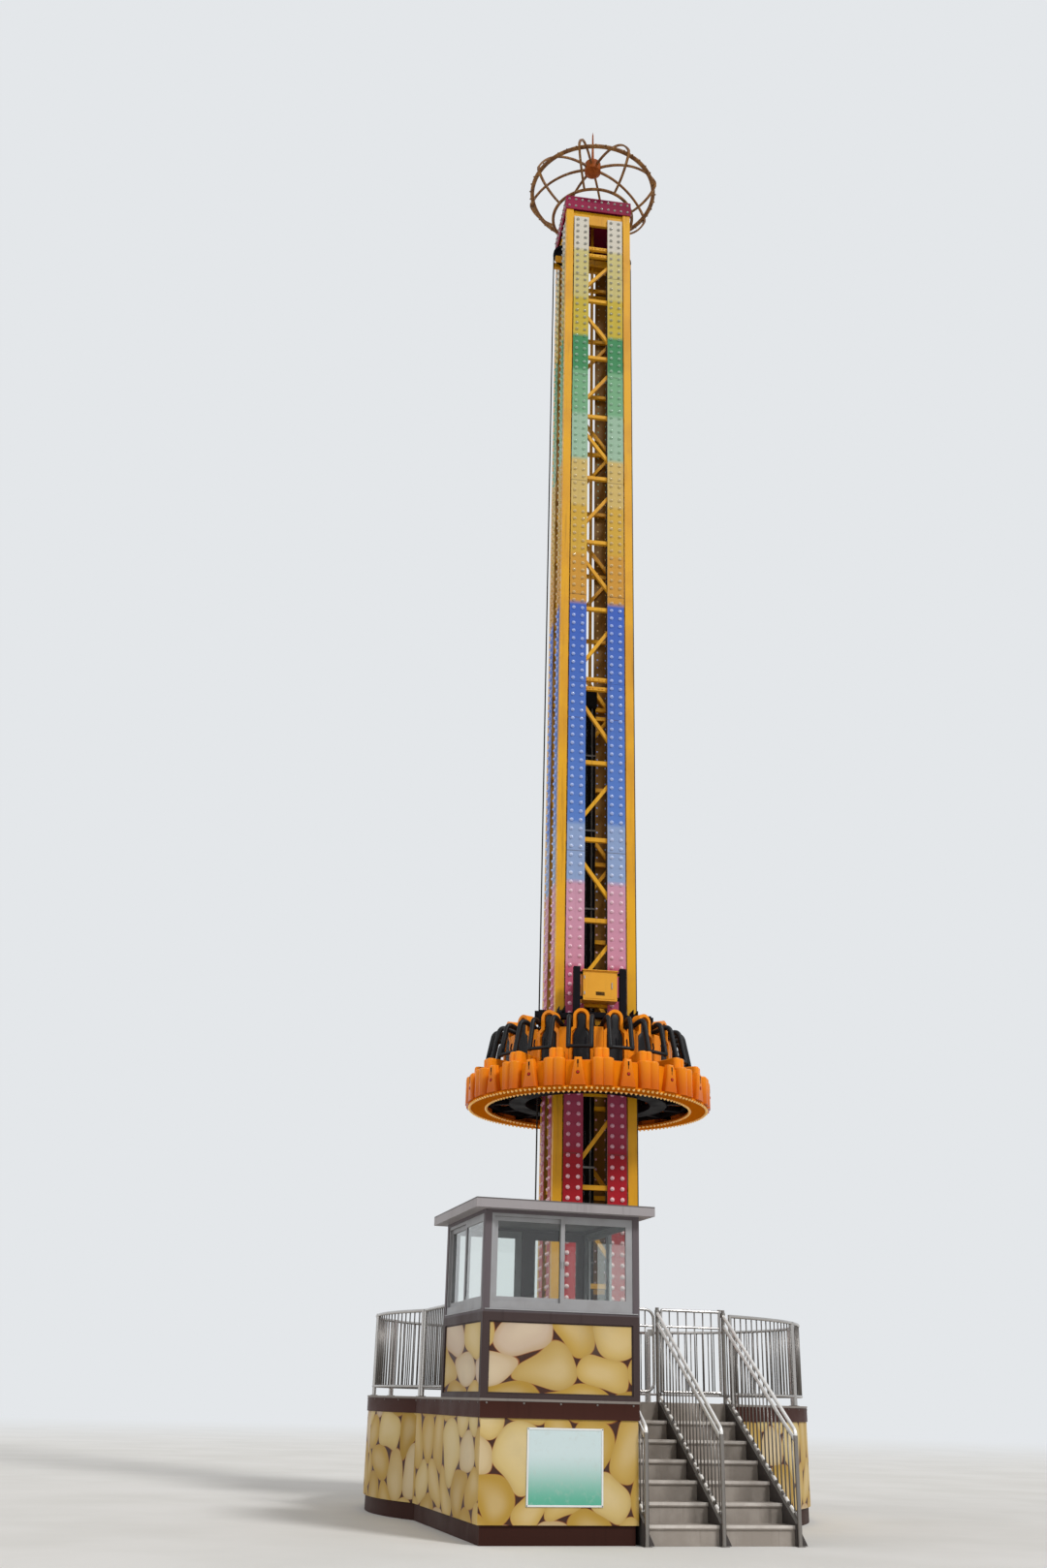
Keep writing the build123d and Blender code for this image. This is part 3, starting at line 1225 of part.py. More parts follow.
# Seat pans: moulded blocks with a pocket for the cushion
with BuildPart() as seat_pans:
    for seat in range(SEATS):
        with BuildSketch(seat_plan(seat, FRAME_TOP)):
            slab((BACK_FACE + JOINT_GAP, PAN_FRONT), (-SEAT_HALF + JOINT_GAP, SEAT_HALF - JOINT_GAP))
        extrude(amount=PAN_TOP - FRAME_TOP)
        with BuildSketch(seat_plan(seat, PAN_TOP)):
            with Locations((PAD_MIDDLE, 0)):
                Rectangle(PAD_LENGTH + 2 * JOINT_GAP, PAD_WIDTH + 2 * JOINT_GAP)
        extrude(amount=-PAD_POCKET, mode=Mode.SUBTRACT)
seat_pans.part.label = "seat_pans"
export_step(seat_pans.part, "parts/seat_pans.step")


def back_outline(inset, foot, mode=Mode.ADD):
    """Front view of a seat back: square base, sloping shoulders and a round headrest."""
    half = SEAT_HALF - JOINT_GAP - inset
    neck = HEADREST_WIDTH / 2 - inset
    arch = HEADREST_TOP - HEADREST_WIDTH / 2
    shoulder = SHOULDER - inset / 2
    with BuildLine() as edge:
        Polyline(
            (-neck, arch),
            (-neck, shoulder + SHOULDER_RISE),
            (-half, shoulder),
            (-half, foot),
            (half, foot),
            (half, shoulder),
            (neck, shoulder + SHOULDER_RISE),
            (neck, arch),
        )
        ThreePointArc((-neck, arch), (0, arch + neck), (neck, arch))
    make_face(edge.edges(), mode=mode)


# Seat backs: shells with a raised edge and, behind, the ledge under the restraint
with BuildPart() as seat_backs:
    for seat in range(SEATS):
        with BuildSketch(seat_face(seat, BACK_FACE)):
            back_outline(0, FRAME_TOP)
        extrude(amount=-BACK_SHELL)
        with BuildSketch(seat_face(seat, BACK_FACE)):
            back_outline(0, PAN_TOP + JOINT_GAP)
            back_outline(BOLSTER_WIDTH, PAN_TOP + JOINT_GAP, mode=Mode.SUBTRACT)
        extrude(amount=BOLSTER)
        with BuildSketch(seat_face(seat, BACK_FACE - BACK_SHELL)):
            ledge = BARREL_HEIGHT - BARREL - SEAT_GAP
            slab((-LEDGE_HALF, LEDGE_HALF), (ledge - LEDGE_DEPTH, ledge))
        extrude(amount=BARREL_RADIUS - BARREL - BACK_FACE + BACK_SHELL)
seat_backs.part.label = "seat_backs"
export_step(seat_backs.part, "parts/seat_backs.step")


def arm_side(radius):
    """Half width of an arm fairing at one radius, clear of the pans beside it."""
    half_pitch = radians(SEAT_PITCH / 2)
    return radius * tan(half_pitch) - SEAT_HALF / cos(half_pitch) - JOINT_GAP


def arm_outline(inner, outer, narrower):
    """Plan of an arm fairing: a wedge that ends in two round lobes with a groove between."""
    lean = radians(SEAT_PITCH / 2)
    apart = cos(radians(LOBE_GROOVE))
    width = arm_side(outer) - narrower
    lobe = width / (apart + cos(lean) + tan(lean) * (1 + sin(lean)))
    neck = outer - lobe
    side = (neck - lobe * sin(lean), lobe * (apart + cos(lean)))
    tip = (outer, lobe * apart)
    groove = (neck + lobe * sin(radians(LOBE_GROOVE)), 0)
    foot = (inner, arm_side(inner) - narrower)
    with BuildLine() as edge:
        Polyline((side[0], -side[1]), (foot[0], -foot[1]), foot, side)
        ThreePointArc(side, tip, groove)
        ThreePointArc(groove, (tip[0], -tip[1]), (side[0], -side[1]))
    make_face(edge.edges())


# Arm fairing: the moulded body between two riders, stepped from the back to the lobes
with BuildPart() as arm_fairing:
    for inner, outer, narrower, low, high in (
        (HOOP_INNER + SPOKE + RUNNING_GAP, ARM_OUTER, 0, ARM_FOOT, FRAME_TOP),
        (ARM_INNER, ARM_OUTER, 0, FRAME_TOP, ARM_SHOULDER),
        (ARM_INNER, ARM_CAP_OUTER, ARM_CAP_INSET, ARM_SHOULDER, ARM_TOP),
    ):
        with BuildSketch(seat_plan(0, low)):
            arm_outline(inner, outer, narrower)
        extrude(amount=high - low)
        if low > ARM_FOOT:
            upper = arm_fairing.edges().filter_by_position(Axis.Z, high - 1, high + 1)
            fillet(upper.filter_by_position(Axis.X, inner + 1, outer), ARM_ROUND)
    with BuildSketch(seat_plan(0, FRAME_TOP)):
        width = arm_side(ARM_INNER)
        foot = arm_side(ARM_BACK)
        outline([(ARM_BACK, -foot), (ARM_INNER, -width), (ARM_INNER, width), (ARM_BACK, foot)])
    extrude(amount=ARM_HEAD - FRAME_TOP)
    fillet(arm_fairing.faces().sort_by(Axis.Z)[-1].edges(), ARM_ROUND / 2)

# Arm fairings: one between each pair of seats
with BuildPart() as arm_fairings:
    with PolarLocations(0, SEATS, start_angle=SEAT_PITCH / 2):
        add(arm_fairing.part)
arm_fairings.part.label = "arm_fairings"
export_step(arm_fairings.part, "parts/arm_fairings.step")

# Pommel: the tapered front of a seat, between the rider's legs
with BuildPart() as pommel:
    with BuildSketch(seat_face(0, SKIRT_WALL + SEAT_GAP)):
        outline(
            [
                (-POMMEL_FOOT / 2, ARM_FOOT),
                (POMMEL_FOOT / 2, ARM_FOOT),
                (POMMEL_HEAD / 2, POMMEL_TOP),
                (-POMMEL_HEAD / 2, POMMEL_TOP),
            ]
        )
    extrude(amount=POMMEL_OUTER - SKIRT_WALL)
    front = pommel.faces().sort_by(Axis.X)[-1]
    fillet(front.edges().sort_by(Axis.Z)[1:], POMMEL_ROUND)

# Pommels: one on the skirt before each seat
with BuildPart() as pommels:
    with PolarLocations(0, SEATS):
        add(pommel.part)
pommels.part.label = "pommels"
export_step(pommels.part, "parts/pommels.step")

# Seat pads: a cushion in each pan and a pad in each back
with BuildPart() as seat_pads:
    for seat in range(SEATS):
        with BuildSketch(seat_plan(seat, PAN_TOP - PAD_POCKET + SEAT_GAP)):
            with Locations((PAD_MIDDLE, 0)):
                Rectangle(PAD_LENGTH, PAD_WIDTH)
        extrude(amount=PAD_POCKET + PAD_RISE - SEAT_GAP)
        with BuildSketch(seat_face(seat, BACK_FACE + SEAT_GAP)):
            back_outline(BOLSTER_WIDTH + JOINT_GAP, PAN_TOP + PAD_RISE + JOINT_GAP)
        extrude(amount=BACK_PAD)
seat_pads.part.label = "seat_pads"
export_step(seat_pads.part, "parts/seat_pads.step")


# Shoulder restraint: a cross barrel, two padded arms and a lap bar
with BuildPart() as restraint:
    for side in (-1, 1):
        with BuildSketch(seat_section(0, side * ARM_SPACING / 2)):
            with BuildLine() as route:
                FilletPolyline(
                    (BARREL_RADIUS, BARREL_HEIGHT),
                    (ARM_REACH, ARM_RISE),
                    (ARM_LAP, LAP_HEIGHT),
                    radius=ARM_BEND,
                )
            trace(route.line, line_width=ARM_BAR)
        extrude(amount=ARM_BAR_WIDTH / 2, both=True)
    with BuildSketch(seat_section(0, 0)):
        with Locations((BARREL_RADIUS, BARREL_HEIGHT)):
            Circle(BARREL)
    extrude(amount=(ARM_SPACING + ARM_BAR_WIDTH) / 2, both=True)
    with BuildSketch(seat_section(0, 0)):
        with Locations((ARM_LAP, LAP_HEIGHT + LAP_BAR / 2)):
            Rectangle(LAP_BAR, LAP_BAR)
    extrude(amount=ARM_SPACING / 2, both=True)

# Restraints: one over each seat, each lifting by itself
for number in range(SEATS):
    name = f"restraint_{number + 1:02d}"
    with BuildPart() as restraint_frame:
        with Locations(Location((0, 0, 0), (0, 0, number * SEAT_PITCH))):
            add(restraint.part)
    restraint_frame.part.label = name
    export_step(restraint_frame.part, f"parts/{name}.step")
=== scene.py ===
"""Looks of the rotating tower ride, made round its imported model.

Everything is in metres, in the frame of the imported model: the origin is in the middle
of the mast on the ground, +Z is up, and the booth and the stairs are towards -Y.
"""

import json
import logging
import math
from dataclasses import dataclass, field
from enum import Enum
from typing import Any, Iterable, Sequence

import bmesh
import bpy
from mathutils import Matrix, Quaternion, Vector

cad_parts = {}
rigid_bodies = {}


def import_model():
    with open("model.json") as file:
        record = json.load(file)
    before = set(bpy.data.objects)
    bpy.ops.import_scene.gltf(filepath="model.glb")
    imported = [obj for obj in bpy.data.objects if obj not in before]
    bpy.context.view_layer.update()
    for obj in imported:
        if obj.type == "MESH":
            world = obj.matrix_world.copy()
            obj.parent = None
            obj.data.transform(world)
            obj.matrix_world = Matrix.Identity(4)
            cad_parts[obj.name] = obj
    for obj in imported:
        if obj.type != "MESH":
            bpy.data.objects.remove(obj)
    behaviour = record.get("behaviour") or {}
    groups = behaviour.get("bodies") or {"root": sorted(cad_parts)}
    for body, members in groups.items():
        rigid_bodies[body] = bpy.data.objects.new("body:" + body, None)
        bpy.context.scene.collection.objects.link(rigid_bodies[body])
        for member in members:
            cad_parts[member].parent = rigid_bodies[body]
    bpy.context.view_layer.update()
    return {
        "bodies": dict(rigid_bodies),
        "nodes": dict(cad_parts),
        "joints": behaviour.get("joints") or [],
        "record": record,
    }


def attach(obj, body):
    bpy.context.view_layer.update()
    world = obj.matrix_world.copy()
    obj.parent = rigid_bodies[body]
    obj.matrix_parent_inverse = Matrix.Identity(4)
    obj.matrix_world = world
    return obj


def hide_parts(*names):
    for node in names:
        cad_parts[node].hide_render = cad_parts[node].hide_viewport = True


LOG = logging.getLogger("tower_ride")
TOWER = "tower"
CARRIAGE = "carriage"
SEAT_RING = "seat_ring"
DECK = 1.46
FRONT = -4.85
LEFT = -2.83
GATE_LINE = -2.925
SEATS = 16
MAST_TURN = math.radians(-7.5)
FULL_TURN = 2 * math.pi
# Spacing of a row, as a share of the true one, at which it doesn't lose its last copy
SNUG = 0.999
UP = Vector((0, 0, 1))
AHEAD = Vector((0, -1, 0))

Point = tuple[float, float, float]
Pair = tuple[float, float]
Bands = tuple[tuple[float, str], ...]
Path = list[tuple[Vector, Vector]]


def linear(code: str) -> tuple[float, float, float, float]:
    """Turns a colour as written in sRGB hex into the linear one that Blender shades with.

    Args:
        code: Six hex digits after a hash sign.

    Returns:
        Red, green, blue and a full alpha.
    """
    shares = [int(code[i : i + 2], 16) / 255 for i in (1, 3, 5)]
    red, green, blue = (c / 12.92 if c <= 0.04045 else ((c + 0.055) / 1.055) ** 2.4 for c in shares)
    return red, green, blue, 1.0


def circle(count: int) -> list[Pair]:
    """Cosine and sine of evenly spaced angles in a full turn."""
    return [(math.cos(FULL_TURN * k / count), math.sin(FULL_TURN * k / count)) for k in range(count)]


def polar(radius: float, angle: float, z: float = 0.0) -> Vector:
    """The point at one radius, angle and height round the mast."""
    return Vector((radius * math.cos(angle), radius * math.sin(angle), z))


def sweep(start: float, turn: float, steps: int = 6) -> list[float]:
    """Angles from a first one through a turn, at even steps, with both ends."""
    return [start + turn * step / steps for step in range(steps + 1)]


def arc(
    radius: float, z: float, start: float, end: float, steps: int, facing: Vector | None = None
) -> Path:
    """Points on a circle round the mast.

    Args:
        radius: Radius of the circle.
        z: Its height.
        start: Angle of the first point, in radians.
        end: Angle of the last point.
        steps: How many parts the arc has.
        facing: The way that a shape faces on it, or None for outwards.

    Returns:
        The points, each with the way that a shape faces there.
    """
    angles = sweep(start, end - start, steps)
    return [(polar(radius, angle, z), facing or polar(1.0, angle)) for angle in angles]


def strips_round(low: Pair, high: Pair, wide: float) -> list[tuple[Pair, Pair]]:
    """Four strips along the inside of a rectangle's edges, which don't overlap.

    Args:
        low: Lower left corner of the rectangle.
        high: Upper right corner.
        wide: Width of a strip.

    Returns:
        Lower left and upper right corner of each strip.
    """
    (left, bottom), (right, top) = low, high
    return [
        ((left, bottom), (left + wide, top)), ((right - wide, bottom), (right, top)),
        ((left + wide, bottom), (right - wide, bottom + wide)),
        ((left + wide, top - wide), (right - wide, top)),
    ]


def add_node(
    tree: bpy.types.NodeTree,
    kind: str,
    settings: dict[Any, Any] | None = None,
    links: dict[Any, Any] | None = None,
) -> bpy.types.Node:
    """Adds a node with its settings and its links.

    Args:
        tree: Tree that gets the node.
        kind: Blender's name of the node type.
        settings: Properties by name, and input values by socket name or number.
        links: Output sockets by the name or number of the input that each feeds.

    Returns:
        The new node.
    """
    node = tree.nodes.new(kind)
    for key, value in (settings or {}).items():
        if isinstance(key, str) and hasattr(node, key):
            setattr(node, key, value)
        else:
            node.inputs[key].default_value = value
    for key, source in (links or {}).items():
        tree.links.new(source, node.inputs[key])
    return node


class Shader:
    """A material under construction: its tree, its object coordinates and its shader."""

    def __init__(self, name: str) -> None:
        """Starts an empty material.

        Args:
            name: Name of the material.
        """
        self.material = bpy.data.materials.new(name)
        self.material.use_nodes = True
        self.tree = self.material.node_tree
        self.tree.nodes.clear()
        self.place = add_node(self.tree, "ShaderNodeTexCoord").outputs["Object"]
        self.surface = add_node(self.tree, "ShaderNodeBsdfPrincipled")
        add_node(self.tree, "ShaderNodeOutputMaterial", links={"Surface": self.surface.outputs[0]})

    def node(self, kind: str, settings: dict | None = None, links: dict | None = None) -> bpy.types.Node:
        """Adds a node to the material's tree."""
        return add_node(self.tree, kind, settings, links)

    def feed(self, socket: bpy.types.NodeSocket, value: Any) -> None:
        """Sets an input, or links it.

        Args:
            socket: Input of a node.
            value: A number, a hex code or an output socket.
        """
        if isinstance(value, str):
            socket.default_value = linear(value)
        elif isinstance(value, (int, float)):
            socket.default_value = value
        else:
            self.tree.links.new(value, socket)

    def math(self, operation: str, first: Any, second: Any = 0.0) -> Any:
        """Joins two values by one sum.

        Args:
            operation: Blender's name of the operation.
            first: A number or an output socket.
            second: A number or an output socket.

        Returns:
            The output socket of the result.
        """
        node = self.node("ShaderNodeMath", {"operation": operation})
        self.feed(node.inputs[0], first)
        self.feed(node.inputs[1], second)
        return node.outputs[0]

    def vector(self, operation: str, links: dict, settings: dict | None = None) -> bpy.types.Node:
        """Adds a sum of vectors."""
        return self.node("ShaderNodeVectorMath", {"operation": operation, **(settings or {})}, links)

    def mix(self, share: Any, first: Any, second: Any) -> Any:
        """Mixes two colours.

        Args:
            share: Number or output socket, 0 for the first colour and 1 for the second.
            first: Hex code or output socket.
            second: Hex code or output socket.

        Returns:
            The output socket of the mixed colour.
        """
        node = self.node("ShaderNodeMix", {"data_type": "RGBA"})
        for number, value in ((0, share), (6, first), (7, second)):
            self.feed(node.inputs[number], value)
        return node.outputs[2]

    def ramp(self, source: Any, low: float, high: float, start: float = 0.0, end: float = 1.0) -> Any:
        """Maps a value between two limits to another range, smoothly, and holds it there.

        Args:
            source: The value.
            low: Lower limit.
            high: Upper limit.
            start: What the lower limit becomes.
            end: What the upper limit becomes.

        Returns:
            The output socket of the result.
        """
        settings = {"interpolation_type": "SMOOTHSTEP", 1: low, 2: high, 3: start, 4: end}
        return self.node("ShaderNodeMapRange", settings, {0: source}).outputs[0]

    def stretched(self, along: Point) -> Any:
        """Object coordinates, scaled along each axis."""
        return self.node("ShaderNodeMapping", {"Scale": along}, {"Vector": self.place}).outputs[0]

    def noise(self, size: float, detail: float = 3.0, place: Any = None, rough: float = 0.55) -> Any:
        """Noise whose blotches are about as wide as a size in metres."""
        settings = {"Scale": 1.0 / size, "Detail": detail, "Roughness": rough}
        return self.node("ShaderNodeTexNoise", settings, {"Vector": place or self.place}).outputs["Fac"]

    def axis(self, name: str) -> Any:
        """One of the object coordinates X, Y or Z."""
        return self.node("ShaderNodeSeparateXYZ", links={0: self.place}).outputs[name]

    def bands(self, source: Any, top: float, stops: Bands) -> Any:
        """Colours by height: a ramp between stops, sharp where two share a height.

        Args:
            source: The height, or any other value.
            top: Value at the end of the ramp.
            stops: Value and hex code of each stop, from the lowest up.

        Returns:
            The output socket of the colour.
        """
        node = self.node("ShaderNodeValToRGB", links={0: self.math("DIVIDE", source, top)})
        ramp = node.color_ramp
        while len(ramp.elements) < len(stops):
            ramp.elements.new(1.0)
        for element, (height, code) in zip(ramp.elements, stops):
            element.position = height / top
            element.color = linear(code)
        return node.outputs["Color"]

    def bump(self, height: Any, distance: float, strength: float = 1.0) -> None:
        """Raises the surface by a pattern, to a distance in metres."""
        node = self.node("ShaderNodeBump", {"Distance": distance, "Strength": strength}, {"Height": height})
        self.tree.links.new(node.outputs[0], self.surface.inputs["Normal"])

    def finish(self, colour: Any, roughness: Any, **constants: float) -> bpy.types.Material:
        """Feeds the shader, and gives the material.

        Args:
            colour: Hex code or output socket of the base colour.
            roughness: Number or output socket.
            constants: Other inputs of the shader, with underscores for spaces.

        Returns:
            The finished material.
        """
        self.feed(self.surface.inputs["Base Color"], colour)
        self.feed(self.surface.inputs["Roughness"], roughness)
        for name, value in constants.items():
            self.surface.inputs[name.replace("_", " ")].default_value = value
        self.material.diffuse_color = linear(colour) if isinstance(colour, str) else (0.5, 0.5, 0.5, 1)
        return self.material


@dataclass(frozen=True)
class Enamel:
    """Air-drying enamel sprayed on welded steel: even, half glossy, streaked by rain."""

    name: str
    colour: str
    faded: str
    grime: str = "#3A2C1C"
    roughness: float = 0.38
    streaks: float = 0.35
    patch: float = 0.8
    bands: Bands = ()
    seam: float = 0.0
    chips: str = ""
    # Colour of the trays' backs and inner sides: a brown-yellow that is painted shade
    back: str = ""
    gloss: float = 0.25
    tray_face: float = 0.6465

    def make(self) -> bpy.types.Material:
        """Builds the material: faded patches, rain streaks, and a faint orange peel.

        Returns:
            The material.
        """
        shader = Shader(self.name)
        patches = shader.noise(self.patch, 5.0)
        if self.bands:
            base = shader.bands(shader.axis("Z"), self.bands[-1][0], self.bands)
        else:
            base = shader.mix(shader.ramp(patches, 0.35, 0.7), self.colour, self.faded)
        if self.seam:
            # Sheet joints across a long tray show as thin dark lines
            step = shader.math("FRACT", shader.math("DIVIDE", shader.axis("Z"), self.seam))
            base = shader.mix(shader.ramp(step, 0.004, 0.010, 0.55, 0.0), base, self.grime)
        # Inside the outer faces the bands give way to the back colour, painted shade on the trays' backs and
        # inner sides
        if self.back:
            base = shader.mix(self.outermost(shader), self.back, base)
        if self.chips:
            flakes = shader.ramp(shader.noise(0.035, 4.0, rough=0.75), 0.60, 0.66)
            base = shader.mix(flakes, base, self.chips)
        runs = shader.noise(0.09, 4.0, shader.stretched((1.0, 1.0, 0.05)), 0.7)
        dirt = shader.math("MULTIPLY", shader.ramp(runs, 0.52, 0.78), self.streaks)
        colour = shader.mix(dirt, base, self.grime)
        dull = shader.ramp(patches, 0.3, 0.75, self.roughness - 0.06, self.roughness + 0.14)
        shader.bump(shader.noise(0.012, 2.0), 0.0004)
        return shader.finish(colour, dull, Specular_IOR_Level=self.gloss)

    def outermost(self, shader: Shader) -> Any:
        """Finds the outer faces of the trays, in the turned square of the mast.

        Args:
            shader: Material under construction.

        Returns:
            The output socket of 1 on an outer face, and of 0 elsewhere.
        """
        turn = {"Rotation": (0.0, 0.0, -MAST_TURN)}
        square = shader.node("ShaderNodeMapping", turn, {"Vector": shader.place}).outputs[0]
        parts = shader.node("ShaderNodeSeparateXYZ", links={0: square}).outputs
        reach = shader.math("MAXIMUM", *(shader.math("ABSOLUTE", parts[name]) for name in "XY"))
        return shader.math("GREATER_THAN", reach, self.tray_face)


@dataclass(frozen=True)
class Gelcoat:
    """Glass-fibre moulding with a coloured gelcoat: deep gloss, dull where shoes rub it."""

    name: str
    colour: str
    shaded: str
    scuff: str
    low: float
    high: float
    gloss: float = 0.16

    def make(self) -> bpy.types.Material:
        """Builds the material: colour that deepens downwards, scuffs and shallow ripples.

        Returns:
            The material.
        """
        shader = Shader(self.name)
        height = shader.ramp(shader.axis("Z"), self.low, self.high)
        base = shader.mix(height, self.shaded, self.colour)
        scuffs = shader.ramp(shader.noise(0.05, 6.0, rough=0.7), 0.56, 0.74)
        low_down = shader.ramp(height, 0.0, 0.8, 0.3, 0.1)
        colour = shader.mix(shader.math("MULTIPLY", scuffs, low_down), base, self.scuff)
        dull = shader.ramp(scuffs, 0.0, 1.0, 0.28, 0.55)
        shader.bump(shader.noise(0.14, 1.0), 0.0016)
        return shader.finish(colour, dull, Specular_IOR_Level=self.gloss)


@dataclass(frozen=True)
class Stainless:
    """Drawn stainless tube, polished along its length: bright, with hand marks."""

    name: str
    colour: str
    roughness: float
    metallic: float = 1.0

    def make(self) -> bpy.types.Material:
        """Builds the material: a metal with fine lengthwise scratches and dull smears.

        Returns:
            The material.
        """
        shader = Shader(self.name)
        smears = shader.noise(0.25, 4.0)
        # Real scratches are under 0.1 mm and wouldn't show, so these are 3 mm wide
        scratches = shader.noise(0.003, 2.0, shader.stretched((1.0, 1.0, 0.04)))
        colour = shader.mix(shader.ramp(smears, 0.4, 0.75, 0.0, 0.25), self.colour, "#7E7A76")
        dull = shader.ramp(smears, 0.3, 0.7, self.roughness, self.roughness + 0.1)
        shader.bump(scratches, 0.00006)
        return shader.finish(colour, dull, Metallic=self.metallic)


class Wrap(Enum):
    """How a printed sheet lies: on flat walls, or round the platform."""

    FLAT = "flat"
    ROUND = "round"


@dataclass(frozen=True)
class PrintedStones:
    """Cladding sheet with a printed film of rounded stones, a generic layout of its own."""

    name: str
    wrap: Wrap
    stone: tuple[float, float]
    radius: float = 3.15
    reach: float = 0.514
    side_share: float = 0.68
    row: float = math.sqrt(3)
    room: tuple[float, float, float, float] | None = None

    def along(self, shader: Shader) -> Any:
        """The place along the wall: an arc length, or whichever of X and Y runs along it.

        Args:
            shader: Material under construction.

        Returns:
            The output socket of the place, in metres.
        """
        x, y = shader.axis("X"), shader.axis("Y")
        if self.wrap is Wrap.ROUND:
            return shader.math("MULTIPLY", shader.math("ARCTAN2", y, x), self.radius)
        normal = shader.node("ShaderNodeNewGeometry").outputs["Normal"]
        across = shader.node("ShaderNodeSeparateXYZ", links={0: normal}).outputs["X"]
        facing_side = shader.math("GREATER_THAN", shader.math("ABSOLUTE", across), 0.5)
        by_x = shader.math("MULTIPLY", x, shader.math("SUBTRACT", 1.0, facing_side))
        by_y = shader.math("MULTIPLY", shader.math("MULTIPLY", y, self.side_share), facing_side)
        return shader.math("ADD", by_x, by_y)

    def spot(self, shader: Shader) -> Any:
        """The place on the sheet in stone widths, bent so that no two stones are alike.

        Args:
            shader: Material under construction.

        Returns:
            The output socket of the place.
        """
        along = shader.math("DIVIDE", self.along(shader), self.stone[0])
        height = shader.math("DIVIDE", shader.axis("Z"), self.stone[1])
        flat = shader.node("ShaderNodeCombineXYZ", links={0: along, 1: height}).outputs[0]
        warp = shader.node("ShaderNodeTexNoise", {"Scale": 0.55, "Detail": 1.0}, {"Vector": flat})
        bend = {1: (1.5, 1.5, 0.0)}
        return shader.vector("MULTIPLY_ADD", {0: warp.outputs["Color"], 2: flat}, bend).outputs[0]

    def nearest(self, shader: Shader, spot: Any, shift: Point) -> tuple[Any, Any]:
        """The nearest middle of a stone in one of the two interleaved grids.

        Args:
            shader: Material under construction.
            spot: Place on the sheet.
            shift: Place of one middle of the grid.

        Returns:
            The middle, and the distance to it.
        """
        half = (0.5 - shift[0], self.row / 2 - shift[1], 0.0)
        moved = shader.vector("ADD", {0: spot}, {1: half}).outputs[0]
        snapped = shader.vector("SNAP", {0: moved}, {1: (1.0, self.row, 1.0)}).outputs[0]
        middle = shader.vector("ADD", {0: snapped}, {1: shift}).outputs[0]
        return middle, shader.vector("DISTANCE", {0: spot, 1: middle}).outputs["Value"]

    def make(self) -> bpy.types.Material:
        """Builds the material: ovals that just touch, with small dark hollow-sided gaps.

        Returns:
            The material.
        """
        shader = Shader(self.name)
        spot = self.spot(shader)
        first, to_first = self.nearest(shader, spot, (0.0, 0.0, 0.0))
        second, to_second = self.nearest(shader, spot, (0.5, self.row / 2, 0.0))
        near = shader.math("MINIMUM", to_first, to_second)
        between = shader.math("SUBTRACT", shader.math("MAXIMUM", to_first, to_second), near)
        middle = shader.node(
            "ShaderNodeMix", {"data_type": "VECTOR"},
            {0: shader.math("GREATER_THAN", to_first, to_second), 4: first, 5: second},
        ).outputs[1]
        tone = shader.node("ShaderNodeTexWhiteNoise", links={"Vector": middle}).outputs["Value"]
        tones = ((0.0, "#A37F28"), (0.3, "#B5913B"), (0.55, "#C6A966"), (0.7, "#C9B175"),
                 (0.78, "#BEABA3"), (0.88, "#C4A972"), (1.0, "#A9882F"))
        base = shader.bands(tone, 1.0, tones)
        inside = shader.math("SUBTRACT", self.reach, near)
        depth = shader.node(
            "ShaderNodeMath", {"operation": "SMOOTH_MIN", 2: 0.1}, {0: inside, 1: between}
        ).outputs[0]
        lit = shader.mix(shader.ramp(depth, 0.05, 0.42, 0.0, 0.22), base, "#EADDBE")
        soft = shader.mix(shader.ramp(depth, -0.02, 0.14, 0.4, 0.0), lit, "#A5823C")
        warm = shader.mix(shader.ramp(inside, -0.006, 0.012), "#8A4A1C", soft)
        colour = shader.mix(shader.ramp(inside, -0.014, -0.002), "#3C1D0E", warm)
        fade = shader.math("MULTIPLY", shader.ramp(shader.noise(0.5, 5.0), 0.5, 0.8), 0.2)
        printed = shader.mix(fade, colour, "#8F8570")
        if self.room:
            printed = shader.mix(self.indoors(shader), printed, "#B7B2A8")
        return shader.finish(printed, 0.55, Specular_IOR_Level=0.3)

    def indoors(self, shader: Shader) -> Any:
        """Finds the walls' inner faces, which have no printed film.

        Args:
            shader: Material under construction.

        Returns:
            The output socket of 1 inside the room, and of 0 elsewhere.
        """
        x, y = shader.axis("X"), shader.axis("Y")
        sides = zip(("GREATER_THAN", "LESS_THAN") * 2, (x, x, y, y), self.room)
        inside = 1.0
        for operation, value, limit in sides:
            inside = shader.math("MULTIPLY", shader.math(operation, value, limit), inside)
        return inside


@dataclass(frozen=True)
class LampCap:
    """Moulded acrylic lamp caps: milky and glossy, lit from inside where they are on."""

    name: str
    bands: Bands
    glow: float

    def make(self) -> bpy.types.Material:
        """Builds the material, with colour by height and an even glow.

        Returns:
            The material.
        """
        shader = Shader(self.name)
        colour = shader.bands(shader.axis("Z"), self.bands[-1][0], self.bands)
        spread = shader.mix(shader.ramp(shader.noise(0.02, 1.0), 0.4, 0.7, 0.0, 0.2), colour, "#FFFFFF")
        shader.tree.links.new(colour, shader.surface.inputs["Emission Color"])
        return shader.finish(spread, 0.15, Emission_Strength=self.glow, Coat_Weight=0.5, IOR=1.49)


